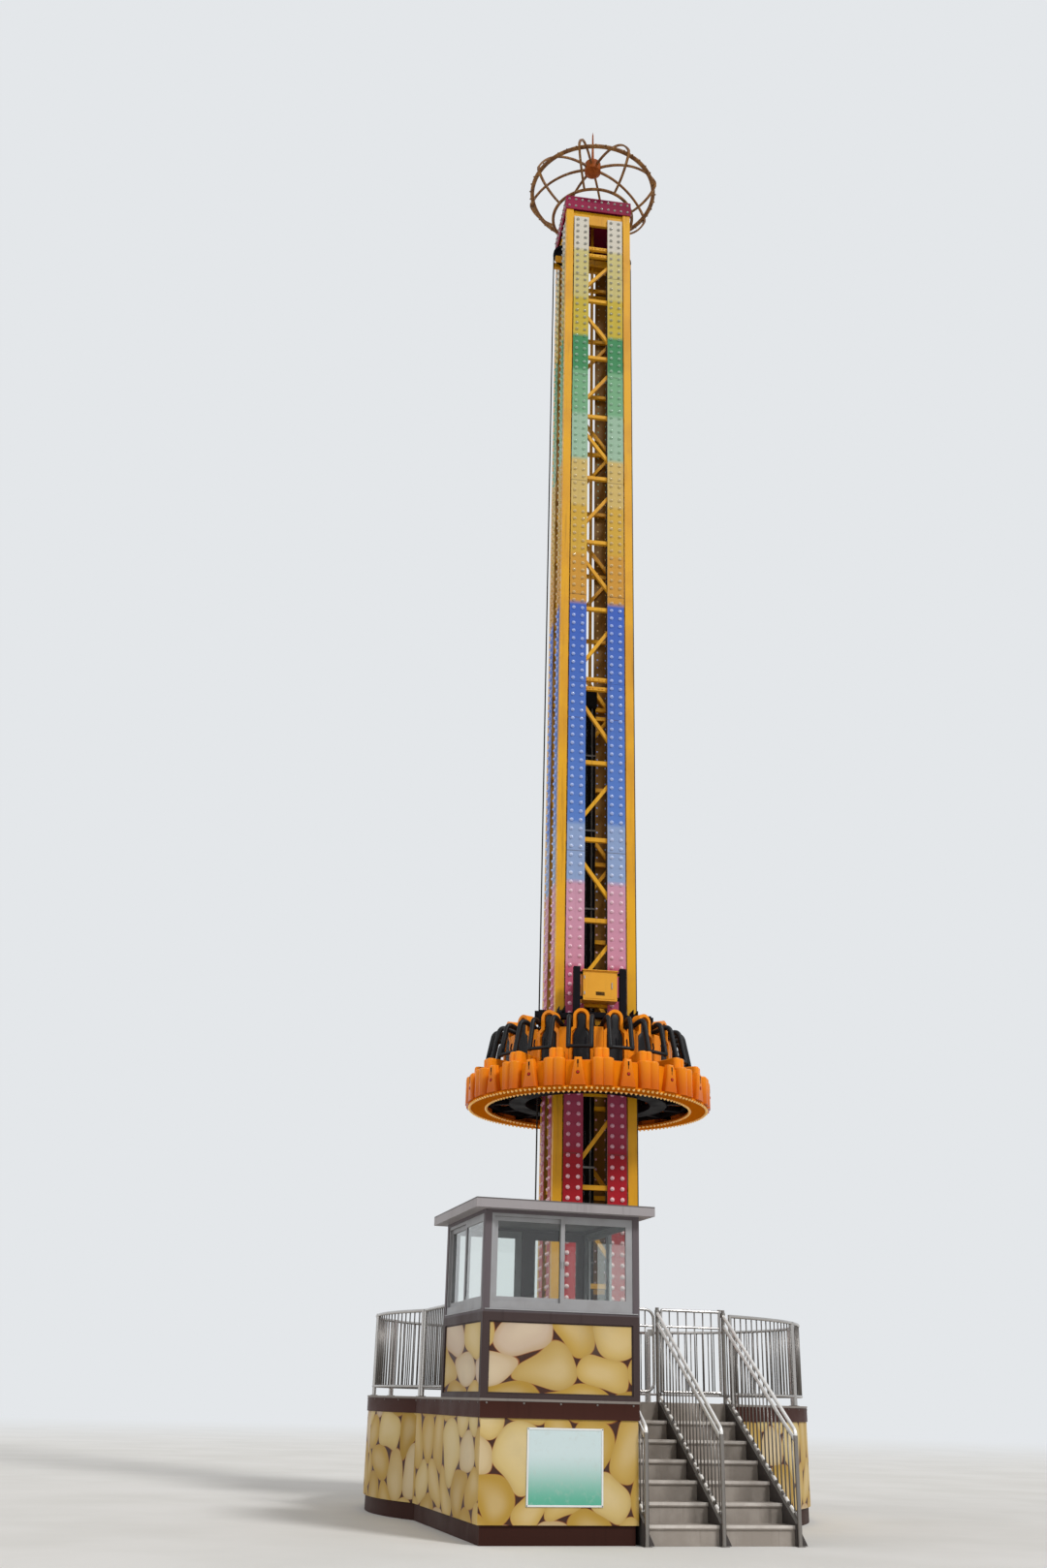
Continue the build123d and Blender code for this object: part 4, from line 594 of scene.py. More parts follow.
@dataclass(frozen=True)
class Vinyl:
    """Black vinyl over foam: a fine leather grain, a soft sheen, and grey where it is worn."""

    name: str
    colour: str
    worn: str
    grain: float = 0.006

    def make(self) -> bpy.types.Material:
        """Builds the material: grain cells drawn coarse enough to show, and worn patches.

        Returns:
            The material.
        """
        shader = Shader(self.name)
        cells = shader.node("ShaderNodeTexVoronoi", {"Scale": 1 / self.grain}, {"Vector": shader.place})
        worn = shader.ramp(shader.noise(0.12, 5.0), 0.5, 0.78, 0.0, 0.5)
        shader.bump(cells.outputs["Distance"], 0.0006)
        colour = shader.mix(worn, self.colour, self.worn)
        return shader.finish(colour, shader.ramp(worn, 0.0, 0.5, 0.46, 0.64), Specular_IOR_Level=0.25)


@dataclass(frozen=True)
class Glass:
    """Clear float glass: faintly green, with a film of dust."""

    name: str

    def make(self) -> bpy.types.Material:
        """Builds the material: full transmission, with dust in the roughness.

        Returns:
            The material.
        """
        shader = Shader(self.name)
        dust = shader.ramp(shader.noise(0.3, 5.0), 0.5, 0.8, 0.0, 0.06)
        return shader.finish("#F1F6F4", dust, Transmission_Weight=1.0, IOR=1.5)


@dataclass(frozen=True)
class ChequerPlate:
    """Hot-rolled chequer plate with raised lozenges, grey paint worn off their tops."""

    name: str
    colour: str
    bare: str
    pitch: float = 0.03

    def make(self) -> bpy.types.Material:
        """Builds the material: two crossed waves for the lozenges, and wear by noise.

        Returns:
            The material.
        """
        shader = Shader(self.name)
        x, y = shader.axis("X"), shader.axis("Y")
        turn = FULL_TURN / self.pitch
        waves = [
            shader.math("SINE", shader.math("MULTIPLY", shader.math(how, x, y), turn / 2))
            for how in ("ADD", "SUBTRACT")
        ]
        lozenge = shader.ramp(shader.math("MULTIPLY", *waves), 0.45, 0.8)
        walked = shader.ramp(shader.noise(0.7, 4.0), 0.4, 0.7)
        colour = shader.mix(shader.math("MULTIPLY", lozenge, walked), self.colour, self.bare)
        shader.bump(lozenge, 0.002)
        return shader.finish(colour, shader.ramp(walked, 0.0, 1.0, 0.6, 0.4), Metallic=0.3)


@dataclass(frozen=True)
class Rope:
    """Greased wire rope: dark, with the strands' slant."""

    name: str
    colour: str
    strand: float = 0.03

    def make(self) -> bpy.types.Material:
        """Builds the material: slanting bands round the rope by height and angle.

        Returns:
            The material.
        """
        shader = Shader(self.name)
        slant = shader.math("ADD", shader.axis("Z"), shader.math("MULTIPLY", shader.axis("Y"), 1.4))
        lay = shader.math("SINE", shader.math("MULTIPLY", slant, FULL_TURN / self.strand))
        shader.bump(lay, 0.002)
        colour = shader.mix(shader.ramp(lay, -0.6, 0.6), "#15130F", self.colour)
        return shader.finish(colour, 0.5, Metallic=0.7)


@dataclass(frozen=True)
class Notice:
    """Laminated board, left without any print: a soft gradient under a glossy film."""

    name: str
    heights: tuple[float, float]
    upper: str
    lower: str

    def make(self) -> bpy.types.Material:
        """Builds the material: one gradient from top to bottom, with a little dust.

        Returns:
            The material.
        """
        shader = Shader(self.name)
        share = shader.ramp(shader.axis("Z"), *self.heights)
        dust = shader.ramp(shader.noise(0.06, 4.0), 0.5, 0.8, 0.0, 0.25)
        colour = shader.mix(dust, shader.mix(share, self.lower, self.upper), "#B8BCB4")
        return shader.finish(colour, 0.25, Coat_Weight=0.4)


STRIP_BANDS: Bands = (
    # From 3.6 m the red darkens upwards, and the band from 4.89 to 5.84 m is darker still: painted shadow of
    # the gondola over the strips' own red and magenta
    (0.0, "#C00C1A"), (3.6, "#B20E1E"), (4.89, "#9A1220"), (4.891, "#8E1E34"), (5.841, "#B04A68"),
    (7.84, "#BC5874"), (7.841, "#C7859B"), (9.23, "#C492A7"), (9.231, "#889CC1"), (10.31, "#889CC1"),
    (10.311, "#5479BE"), (13.35, "#3D63B4"), (14.5, "#365BB4"), (14.501, "#C48B2A"), (15.52, "#C68F2C"),
    (15.521, "#C89E32"), (16.54, "#C89E32"), (16.541, "#C6AA62"), (17.56, "#C6AA62"), (17.561, "#95B399"),
    (18.57, "#95B399"), (18.571, "#6EA177"), (19.61, "#6EA177"), (19.611, "#35804E"), (20.5, "#35804E"),
    (20.501, "#BDA52D"), (21.43, "#BDA52D"), (21.431, "#C0B26E"), (22.6, "#C3B675"), (22.601, "#CBC3B2"),
    (24.0, "#D2CCBE"),
)
ROOF_BANDS: Bands = (
    (0.0, "#9E9899"), (3.583, "#9E9899"), (3.584, "#514B4A"), (3.6, "#514B4A"), (3.601, "#8F8B8B"),
    (4.0, "#9A9696"),
)
POST_BANDS: Bands = ((0.0, "#3E3231"), (2.36, "#463A39"), (2.361, "#625A5D"), (4.0, "#686063"))
RIM_BANDS: Bands = (
    (0.0, "#361E18"), (1.26, "#422620"), (1.434, "#3D221B"), (1.4345, "#837B75"), (1.5, "#8F8780"),
)
CAP_BANDS: Bands = (
    # The caps dim towards the stop at 4.9 m: painted shadow of the gondola
    (0.0, "#F4DCD6"), (4.2, "#E4B8BA"), (4.9, "#B8808E"), (5.84, "#C88AA0"), (7.84, "#D6A0B0"),
    (9.2, "#D9B4C2"), (9.25, "#B0BFDE"), (10.29, "#A9B9DE"), (10.33, "#93A9DC"), (14.48, "#8FA4DC"),
    (14.52, "#C49A4E"), (17.54, "#C2AC6A"), (17.58, "#8FB394"), (19.6, "#7AAA86"), (20.48, "#5F9370"),
    (20.52, "#98904E"), (22.58, "#97917C"), (22.62, "#8B887E"), (24.0, "#8B887E"),
)


class Paint(Enum):
    """The finishes of the ride."""

    MAST = Enamel("mast_yellow_enamel", "#E0A41A", "#D09216", "#4E3010", 0.36, 0.42)
    TRAY = Enamel(
        "banded_tray_enamel", "#FFFFFF", "#FFFFFF", "#4A3A34", 0.4, 0.18,
        # The back colour is painted shade on the trays' backs and inner sides
        bands=STRIP_BANDS, seam=2.44, back="#8A6426", gloss=0.2,
    )
    BAND = Enamel("crimson_enamel", "#8C1840", "#7A1034", "#2E0A14", 0.45, 0.2, gloss=0.12)
    CROWN = Enamel(
        "bronze_brown_enamel", "#6B4526", "#94683A", "#2A1A10", 0.5, 0.6, 0.12, chips="#C8B48C", gloss=0.12
    )
    HUB = Enamel("rust_orange_enamel", "#9A4E1A", "#7E3C14", "#3A1A0C", 0.55, 0.5, 0.1, gloss=0.1)
    MACHINE = Enamel("black_machine_enamel", "#131216", "#1A181C", "#0A0908", 0.6, 0.4, 0.3, gloss=0.05)
    PRIMER = Enamel("grey_primer", "#6C6A68", "#7A7773", "#2C2620", 0.65, 0.4)
    RIM = Enamel(
        "dark_brown_enamel_with_worn_lip", "#3D221B", "#4D2E25", "#1C0E0A", 0.5, 0.25,
        bands=RIM_BANDS, gloss=0.08,
    )
    POST = Enamel(
        "booth_brown_grey_enamel", "#443736", "#4E403E", "#1E1614", 0.5, 0.3, bands=POST_BANDS, gloss=0.1
    )
    ROOF = Enamel(
        "coated_roof_sheet", "#9E9899", "#8C8786", "#4A4542", 0.5, 0.35, bands=ROOF_BANDS, gloss=0.15
    )
    TREAD = Enamel("worn_grey_tread_paint", "#958C83", "#A39A91", "#5A514A", 0.6, 0.4, 0.25)
    NOSING = Enamel("worn_nosing_steel", "#D2CBC3", "#C0B8B0", "#7A7168", 0.45, 0.2, 0.2)
    STRINGER = Enamel("dark_grey_stringer_enamel", "#4A4543", "#575250", "#1E1A19", 0.5, 0.4, gloss=0.15)
    CABINET = Enamel("cabinet_yellow_enamel", "#E6A530", "#DD9A26", "#5A3A12", 0.35, 0.12)
    CONDUIT = Enamel("black_conduit_enamel", "#131211", "#1C1917", "#0A0908", 0.5, 0.3, gloss=0.1)
    RUBBER = Vinyl("polyurethane_wheel", "#1A1A1A", "#3A3733", 0.01)
    GEL = Gelcoat("orange_gelcoat", "#F28E16", "#CC600A", "#9A4E16", 5.65, 6.2)
    SKIRT = Gelcoat("matt_orange_gelcoat", "#E88412", "#D8740E", "#9A4E16", 5.65, 5.9, 0.0)
    STEEL = Stainless("polished_stainless_tube", "#B8B4B0", 0.22)
    # Paler than the stringers: painted light on the flanges' upward faces
    FLANGE = Enamel("worn_grey_flange_enamel", "#8F8A85", "#7D7873", "#3A3532", 0.5, 0.3, gloss=0.2)
    # Near-white and only half metallic: the whiteness is a painted glint along the handrails
    HANDRAIL = Stainless("hand_polished_stainless_rail", "#F2F0EC", 0.3, 0.55)
    # Diffuse white, so that it reads bright in any light: painted glints on the stair foot rails
    PAINTED_GLINT = Enamel("worn_white_sleeve_enamel", "#F4F2EE", "#E4E1DC", "#8A847E", 0.4, 0.15, 0.2)
    # Darker than the other stainless: painted shade on the posts and foot rails of the stairs
    RAIL_POST = Stainless("weathered_stainless_post", "#8C8782", 0.34)
    DULL_STEEL = Stainless("brushed_stainless_bar", "#7A7672", 0.38)
    WINDOW = Stainless("mill_finish_aluminium", "#9B9A9B", 0.48, 0.6)
    GLASS = Glass("clear_float_glass")
    DECK = ChequerPlate("grey_chequer_plate", "#66625F", "#A19C96")
    ROPE = Rope("greased_wire_rope", "#4A4640")
    VINYL = Vinyl("black_vinyl", "#141315", "#3A3638")
    FOAM = Vinyl("moulded_black_foam", "#101012", "#2C2A2C", 0.009)
    STONES_BOOTH = PrintedStones(
        "printed_round_stones", Wrap.FLAT, (0.62, 0.50), room=(-2.8, -0.97, -4.82, -2.93)
    )
    STONES_FLAT = PrintedStones("printed_oval_stones", Wrap.FLAT, (0.46, 0.52))
    STONES_ROUND = PrintedStones("printed_tall_stones", Wrap.ROUND, (0.5, 0.56))
    CAP = LampCap("acrylic_lamp_cap", CAP_BANDS, 0.12)
    AMBER = LampCap("amber_lamp_cap", ((0.0, "#FFC860"), (30.0, "#FFC860")), 0.15)
    NOTICE = Notice("laminated_notice", (0.38, 0.95), "#C9DADB", "#4FAA8E")
    TRIM = Enamel("white_trim_enamel", "#E6E8E6", "#D8DAD8", "#8A867E", 0.4, 0.15)
    BUTTON = Gelcoat("red_button_moulding", "#C4201C", "#A81A18", "#5A0C0A", 5.6, 6.0)


class Finishes:
    """The materials of the ride, each built once, when it is first asked for."""

    def __init__(self) -> None:
        """Starts with no material built."""
        self.made: dict[Paint, bpy.types.Material] = {}

    def get(self, paint: Paint) -> bpy.types.Material:
        """The material of one finish.

        Args:
            paint: The finish.

        Returns:
            Its material, the same one each time.
        """
        if paint not in self.made:
            self.made[paint] = paint.value.make()
        return self.made[paint]


@dataclass
class Form:
    """A mesh under construction: corners and faces in the model's own frame."""

    points: list[Point] = field(default_factory=list)
    faces: list[tuple[int, ...]] = field(default_factory=list)

    def loft(self, rings: Sequence[Sequence[Point]]) -> None:
        """Joins rings of equal count by a skin, and fills the first and the last.

        Args:
            rings: Rings of corners, each in order round the shape.
        """
        base, count = len(self.points), len(rings[0])
        for ring in rings:
            self.points.extend(tuple(point) for point in ring)
        last = base + (len(rings) - 1) * count
        for low in range(base, last, count):
            for i in range(count):
                j = (i + 1) % count
                self.faces.append((low + i, low + j, low + count + j, low + count + i))
        self.faces.append(tuple(base + i for i in reversed(range(count))))
        self.faces.append(tuple(last + i for i in range(count)))

    def block(self, low: Point, high: Point, turn: Matrix | None = None) -> None:
        """Adds a box between two corners, turned by a matrix.

        Args:
            low: Corner with the lowest values.
            high: Corner with the highest values.
            turn: Matrix of four rows, or None to leave the box as it is.
        """
        ring = ((low[0], low[1]), (high[0], low[1]), (high[0], high[1]), (low[0], high[1]))
        rings = [[Vector((x, y, z)) for x, y in ring] for z in (low[2], high[2])]
        if turn is not None:
            rings = [[turn @ point for point in level] for level in rings]
        self.loft(rings)

    def tube(self, path: Sequence[Vector], radius: float, sides: int = 12) -> None:
        """Sweeps a round section along a path.

        Args:
            path: Points of the middle line.
            radius: Radius of the section.
            sides: Corners of the section.
        """
        rings = []
        last = len(path) - 1
        up = None
        for i, point in enumerate(path):
            way = (path[min(i + 1, last)] - path[max(i - 1, 0)]).normalized()
            if up is None:
                up = UP if abs(way.z) < 0.9 else Vector((1, 0, 0))
            side = way.cross(up).normalized()
            up = side.cross(way).normalized()
            rings.append([point + side * radius * c + up * radius * s for c, s in circle(sides)])
        self.loft(rings)

    def turned(self, turn: Matrix) -> "Form":
        """A copy of the form, turned by a matrix."""
        return Form([tuple(turn @ Vector(point)) for point in self.points], list(self.faces))

    def turned_copies(self, count: int) -> "Form":
        """Copies the form round the vertical.

        Args:
            count: Number of copies in a full turn.

        Returns:
            A new form that holds all the copies.
        """
        result = Form()
        for number in range(count):
            base = len(result.points)
            copy = self.turned(Matrix.Rotation(FULL_TURN * number / count, 3, "Z"))
            result.points.extend(copy.points)
            result.faces.extend(tuple(base + i for i in face) for face in copy.faces)
        return result

    def piece(self, name: str, material: bpy.types.Material, smooth: float | None = None) -> bpy.types.Object:
        """Makes the object of the form.

        Args:
            name: Name of the piece.
            material: Its material.
            smooth: Largest angle, in degrees, that is shaded smooth, or None for flat.

        Returns:
            The new object, at the origin.
        """
        mesh = bpy.data.meshes.new(name)
        mesh.from_pydata([tuple(p) for p in self.points], [], self.faces)
        skin = bmesh.new()
        skin.from_mesh(mesh)
        bmesh.ops.remove_doubles(skin, verts=skin.verts, dist=1e-6)
        bmesh.ops.recalc_face_normals(skin, faces=skin.faces)
        skin.to_mesh(mesh)
        skin.free()
        mesh.materials.append(material)
        piece = bpy.data.objects.new(name, mesh)
        bpy.context.scene.collection.objects.link(piece)
        if smooth is not None:
            mesh.shade_smooth()
            mesh.set_sharp_from_angle(angle=math.radians(smooth))
        return piece


def soften(piece: bpy.types.Object, width: float) -> None:
    """Rounds a piece's hard edges by a live bevel.

    Args:
        piece: The piece.
        width: Width of the bevel, in metres.
    """
    bevel = piece.modifiers.new("rounded_edges", "BEVEL")
    bevel.width = width
    bevel.segments = 2
    bevel.limit_method = "ANGLE"
    bevel.harden_normals = True


class Repeat(Enum):
    """What a row repeats: a lamp cap, a bolt head, or an upright bar."""

    LAMP = "lamp"
    BOLT = "bolt"
    BAR = "bar"


class Row:
    """Geometry Nodes that set one small shape along paths, at an even spacing."""

    def __init__(self, shape: Repeat) -> None:
        """Builds the tree for one shape.

        Args:
            shape: What the tree repeats.
        """
        self.tree = bpy.data.node_groups.new(f"row_of_{shape.value}s", "GeometryNodeTree")
        self.inputs: dict[str, str] = {}
        sockets = (
            ("Geometry", "NodeSocketGeometry"),
            ("Spacing", "NodeSocketFloat"),
            ("Radius", "NodeSocketFloat"),
            ("Height", "NodeSocketFloat"),
            ("Material", "NodeSocketMaterial"),
        )
        for name, kind in sockets:
            socket = self.tree.interface.new_socket(name=name, in_out="INPUT", socket_type=kind)
            self.inputs[name] = socket.identifier
        self.tree.interface.new_socket(name="Geometry", in_out="OUTPUT", socket_type="NodeSocketGeometry")
        given = add_node(self.tree, "NodeGroupInput").outputs
        curve = self.node("GeometryNodeMeshToCurve", links={"Mesh": given["Geometry"]})
        spaced = self.node(
            "GeometryNodeResampleCurve", {"mode": "LENGTH"},
            {"Curve": curve.outputs[0], "Length": given["Spacing"]},
        )
        facing = self.node("GeometryNodeInputNamedAttribute", {"data_type": "FLOAT_VECTOR", "Name": "facing"})
        turn = self.node("FunctionNodeAlignRotationToVector", {"axis": "Z"}, {"Vector": facing.outputs[0]})
        shapes = {Repeat.LAMP: self.lamp, Repeat.BOLT: self.bolt, Repeat.BAR: self.bar}
        placed = self.node(
            "GeometryNodeInstanceOnPoints", None,
            {"Points": spaced.outputs[0], "Instance": shapes[shape](given), "Rotation": turn.outputs[0]},
        )
        real = self.node("GeometryNodeRealizeInstances", None, {0: placed.outputs[0]})
        painted = {"Geometry": real.outputs[0], "Material": given["Material"]}
        dressed = self.node("GeometryNodeSetMaterial", None, painted)
        add_node(self.tree, "NodeGroupOutput", None, {0: dressed.outputs[0]})

    def node(self, kind: str, settings: dict | None = None, links: dict | None = None) -> bpy.types.Node:
        """Adds a node to the row's tree."""
        return add_node(self.tree, kind, settings, links)

    def scaled(self, first: Any, factor: float) -> Any:
        """A size multiplied by a fixed share."""
        node = self.node("ShaderNodeMath", {"operation": "MULTIPLY", 1: factor}, {0: first})
        return node.outputs[0]

    def lifted(self, mesh: Any, height: Any) -> Any:
        """A mesh moved up its own axis."""
        move = self.node("ShaderNodeCombineXYZ", None, {2: height}).outputs[0]
        return self.node("GeometryNodeTransform", None, {"Geometry": mesh, "Translation": move}).outputs[0]

    def joined(self, parts: Iterable[Any], smooth: bool) -> Any:
        """Several meshes as one.

        Args:
            parts: Output sockets of the meshes.
            smooth: Whether they are shaded smooth.

        Returns:
            The output socket of the whole.
        """
        join = self.node("GeometryNodeJoinGeometry")
        for part in parts:
            self.tree.links.new(part, join.inputs[0])
        shade = {"Shade Smooth": smooth}
        return self.node("GeometryNodeSetShadeSmooth", shade, {0: join.outputs[0]}).outputs[0]

    def cylinder(self, corners: int, radius: Any, height: Any) -> Any:
        """An upright prism round its point."""
        sizes = {"Radius": radius, "Depth": height}
        return self.node("GeometryNodeMeshCylinder", {"Vertices": corners}, sizes).outputs[0]

    def lamp(self, given: Any) -> Any:
        """A domed cap on a low collar.

        Args:
            given: The tree's inputs by name.

        Returns:
            The output socket of the shape.
        """
        sizes = {"Radius": given["Radius"]}
        dome = self.node("GeometryNodeMeshUVSphere", {"Segments": 9, "Rings": 6}, sizes).outputs[0]
        collar = self.cylinder(9, self.scaled(given["Radius"], 1.25), given["Height"])
        return self.joined((self.lifted(dome, self.scaled(given["Height"], 0.5)), collar), True)

    def bolt(self, given: Any) -> Any:
        """A hexagon head on a round washer.

        Args:
            given: The tree's inputs by name.

        Returns:
            The output socket of the shape.
        """
        head = self.cylinder(6, given["Radius"], given["Height"])
        washer = self.cylinder(12, self.scaled(given["Radius"], 1.4), self.scaled(given["Height"], 0.25))
        return self.joined((self.lifted(head, self.scaled(given["Height"], 0.5)), washer), False)

    def bar(self, given: Any) -> Any:
        """A round bar that stands on its point."""
        bar = self.cylinder(10, given["Radius"], given["Height"])
        return self.joined((self.lifted(bar, self.scaled(given["Height"], 0.5)),), True)

    def piece(
        self,
        name: str,
        paths: Sequence[Path],
        sizes: dict[str, float],
        material: bpy.types.Material,
    ) -> bpy.types.Object:
        """Runs the tree along paths, and keeps the result as a plain mesh.

        Args:
            name: Name of the piece.
            paths: Paths, each a list of points with the way that the shape faces there.
            sizes: The tree's Spacing, Radius and Height, in metres.
            material: Material of every copy.

        Returns:
            The new object, at the origin.
        """
        points, edges, ways = [], [], []
        for path in paths:
            base = len(points)
            points.extend(tuple(point) for point, _ in path)
            ways.extend(tuple(way) for _, way in path)
            edges.extend((base + i, base + i + 1) for i in range(len(path) - 1))
        mesh = bpy.data.meshes.new(name)
        mesh.from_pydata(points, edges, [])
        mesh.attributes.new("facing", "FLOAT_VECTOR", "POINT").data.foreach_set(
            "vector", [value for way in ways for value in way]
        )
        piece = bpy.data.objects.new(name, mesh)
        bpy.context.scene.collection.objects.link(piece)
        modifier = piece.modifiers.new("row", "NODES")
        modifier.node_group = self.tree
        for key, value in sizes.items():
            modifier[self.inputs[key]] = value
        modifier[self.inputs["Material"]] = material
        graph = bpy.context.evaluated_depsgraph_get()
        result = bpy.data.meshes.new_from_object(piece.evaluated_get(graph))
        piece.modifiers.clear()
        piece.data = result
        result.name = name
        return piece


class Workshop:
    """What every sub-assembly needs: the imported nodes, the finishes and the rows."""

    def __init__(self, frame: dict[str, Any]) -> None:
        """Takes the loaded frame.
        """
        self.nodes = frame["nodes"]
        self.finishes = Finishes()
        self.rows = {shape: Row(shape) for shape in Repeat}

    def paint(self, paint: Paint) -> bpy.types.Material:
        """The material of one finish."""
        return self.finishes.get(paint)

    def dress(self, paint: Paint, *names: str) -> None:
        """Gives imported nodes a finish.

        Args:
            paint: The finish.
            names: Names of the nodes.
        """
        for name in names:
            slots = self.nodes[name].data.materials
            slots.clear()
            slots.append(self.paint(paint))
            LOG.info("%s wears %s", name, paint.value.name)

    def add(self, piece: bpy.types.Object, body: str, slot: str, *replaced: str) -> bpy.types.Object:
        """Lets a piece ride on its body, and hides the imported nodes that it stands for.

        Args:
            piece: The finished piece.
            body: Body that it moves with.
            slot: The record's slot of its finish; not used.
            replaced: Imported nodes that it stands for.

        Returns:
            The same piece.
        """
        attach(piece, body)
        if replaced:
            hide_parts(*replaced)
        LOG.info("%s rides on %s", piece.name, body)
        return piece

    def form(
        self, form: Form, name: str, paint: Paint, slot: str, *replaced: str,
        body: str = TOWER, smooth: float | None = None, bevel: float = 0.0,
    ) -> bpy.types.Object:
        """Makes the object of a form, and adds it.

        Args:
            form: The finished form.
            name: Name of the piece.
            paint: Its finish.
            slot: The record's slot of its finish.
            replaced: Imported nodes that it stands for.
            body: Body that it moves with.
            smooth: Largest angle, in degrees, that is shaded smooth, or None for flat.
            bevel: Width of the bevel that rounds its edges, or 0 for none.

        Returns:
            The piece.
        """
        piece = form.piece(name, self.paint(paint), smooth)
        if bevel:
            soften(piece, bevel)
        return self.add(piece, body, slot, *replaced)

    def row(
        self, shape: Repeat, name: str, paths: Sequence[Path], sizes: Point, paint: Paint,
        slot: str, *replaced: str, body: str = TOWER,
    ) -> None:
        """Sets a small shape along paths, and adds the row.

        Args:
            shape: What the row repeats.
            name: Name of the piece.
            paths: Paths, each a list of points with the way that the shape faces there.
            sizes: Spacing along the path, and radius and height of the shape, in metres.
            paint: Finish of every copy.
            slot: The record's slot of its finish.
            replaced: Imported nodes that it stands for.
            body: Body that it moves with.
        """
        named = dict(zip(("Spacing", "Radius", "Height"), sizes))
        self.add(self.rows[shape].piece(name, paths, named, self.paint(paint)), body, slot, *replaced)


@dataclass
class Assembly:
    """A sub-assembly of the ride, with the workshop that it draws on."""

    shop: Workshop


@dataclass
class Mast(Assembly):
    """Lattice mast with its lamp trays and head."""

    tray_face: float = 0.654
    tray_place: float = 0.34
    cap_gap: float = 0.155
    cap_radius: float = 0.026
    cap_collar: float = 0.01
    cap_heights: Pair = (1.58, 23.42)
    band_face: float = 0.673
    band_reach: float = 0.6
    band_rows: Pair = (23.75, 23.92)
    band_lamp: Point = (0.132, 0.02, 0.008)
    splice_levels: tuple[float, ...] = (12.81, 12.99, 22.56, 22.74)
    splice_reach: Pair = (0.05, 0.17)
    splice_face: float = 0.613
    splice_bolt: Point = (0.06, 0.012, 0.01)
    conduit: float = 0.0125
    conduit_count: int = 8
    pale_conduit: int = 5
    conduit_depth: float = -0.042
    conduit_ends: Pair = (0.06, 12.7)
    clamp_step: float = 1.4
    junction_box: tuple[Point, Point] = ((-0.11, -0.12, 0.0), (0.11, -0.026, 0.34))

    def side(self, number: int) -> Matrix:
        """Turn from the front of the mast to one of its four sides."""
        return Matrix.Rotation(MAST_TURN + FULL_TURN * number / 4, 3, "Z")

    def line(self, number: int, start: Point, end: Point) -> Path:
        """A straight path on one side of the mast.

        Args:
            number: Number of the side, 0 for the front.
            start: First point, as if the side were the front.
            end: Last point, in the same way.

        Returns:
            The two points, each with the way that the side faces.
        """
        turn = self.side(number)
        out = turn @ AHEAD
        return [(turn @ Vector(point), out) for point in (start, end)]

    def build(self) -> None:
        """Dresses the mast's nodes, and adds the lamps, the bolts and the conduits."""
        sides = ("front", "right", "back", "left")
        lattice = (f"mast_lattice_{side}" for side in sides)
        self.shop.dress(Paint.MAST, "mast_columns", "mast_head", *lattice)
        self.shop.dress(Paint.TRAY, "light_strips")
        self.shop.dress(Paint.BAND, "crown_band")
        self.shop.dress(Paint.MACHINE, "rope_sheaves")
        self.shop.dress(Paint.ROPE, "hoist_ropes")
        self.shop.dress(Paint.PRIMER, "mast_base")
        for number, side in enumerate(sides):
            self.tray_lamps(number, side)
        self.band_lamps()
        self.splice_bolts()
        self.conduits()

    def conduits(self) -> None:
        """Rigid conduits side by side, clamped to the duct, from the base to a junction box."""
        turn = self.side(0)
        low, high = self.conduit_ends
        black, pale, clamps = Form(), Form(), Form()
        for number in range(self.conduit_count):
            x = (number - (self.conduit_count - 1) / 2) * self.conduit * 2
            ends = [turn @ Vector((x, self.conduit_depth, z)) for z in (low, high)]
            (pale if number == self.pale_conduit else black).tube(ends, self.conduit)
        reach = self.conduit * self.conduit_count + 0.01
        front = self.conduit_depth - self.conduit
        for number in range(int((high - low) / self.clamp_step)):
            z = low + 0.5 + number * self.clamp_step
            clamps.block((-reach, front - 0.012, z), (reach, front + 0.002, z + 0.03), turn.to_4x4())
        corners = ((x, y, high + z) for x, y, z in self.junction_box)
        black.block(*corners, turn.to_4x4())
        self.shop.form(black, "black_conduits", Paint.CONDUIT, "dark_steel", smooth=40)
        self.shop.form(pale, "grey_conduit", Paint.PRIMER, "dark_steel", smooth=40)
        self.shop.form(clamps, "conduit_clamps", Paint.DULL_STEEL, "stainless")

    def tray_lamps(self, number: int, side: str) -> None:
        """Two columns of lamp caps on each of the two trays of one side.

        Args:
            number: Number of the side.
            side: Its name.
        """
        paths = []
        for tray in (-self.tray_place, self.tray_place):
            for x in (tray - self.cap_gap / 2, tray + self.cap_gap / 2):
                paths.append(self.line(number, *((x, -self.tray_face, z) for z in self.cap_heights)))
        sizes = (self.cap_gap, self.cap_radius, self.cap_collar)
        self.shop.row(Repeat.LAMP, f"tray_lamps_{side}", paths, sizes, Paint.CAP, "strip_paint")

    def band_lamps(self) -> None:
        """Two rows of lamp caps on each side of the crown band."""
        paths = []
        for number in range(4):
            for z in self.band_rows:
                ends = ((x, -self.band_face, z) for x in (-self.band_reach, self.band_reach))
                paths.append(self.line(number, *ends))
        self.shop.row(Repeat.LAMP, "band_lamps", paths, self.band_lamp, Paint.CAP, "strip_paint")

    def splice_bolts(self) -> None:
        """Bolt heads along the double bars of the two splices."""
        paths = []
        for number in range(4):
            for z in self.splice_levels:
                for way in (-1, 1):
                    ends = ((way * x, -self.splice_face, z) for x in self.splice_reach)
                    paths.append(self.line(number, *ends))
        self.shop.row(Repeat.BOLT, "splice_bolts", paths, self.splice_bolt, Paint.MAST, "mast_paint")


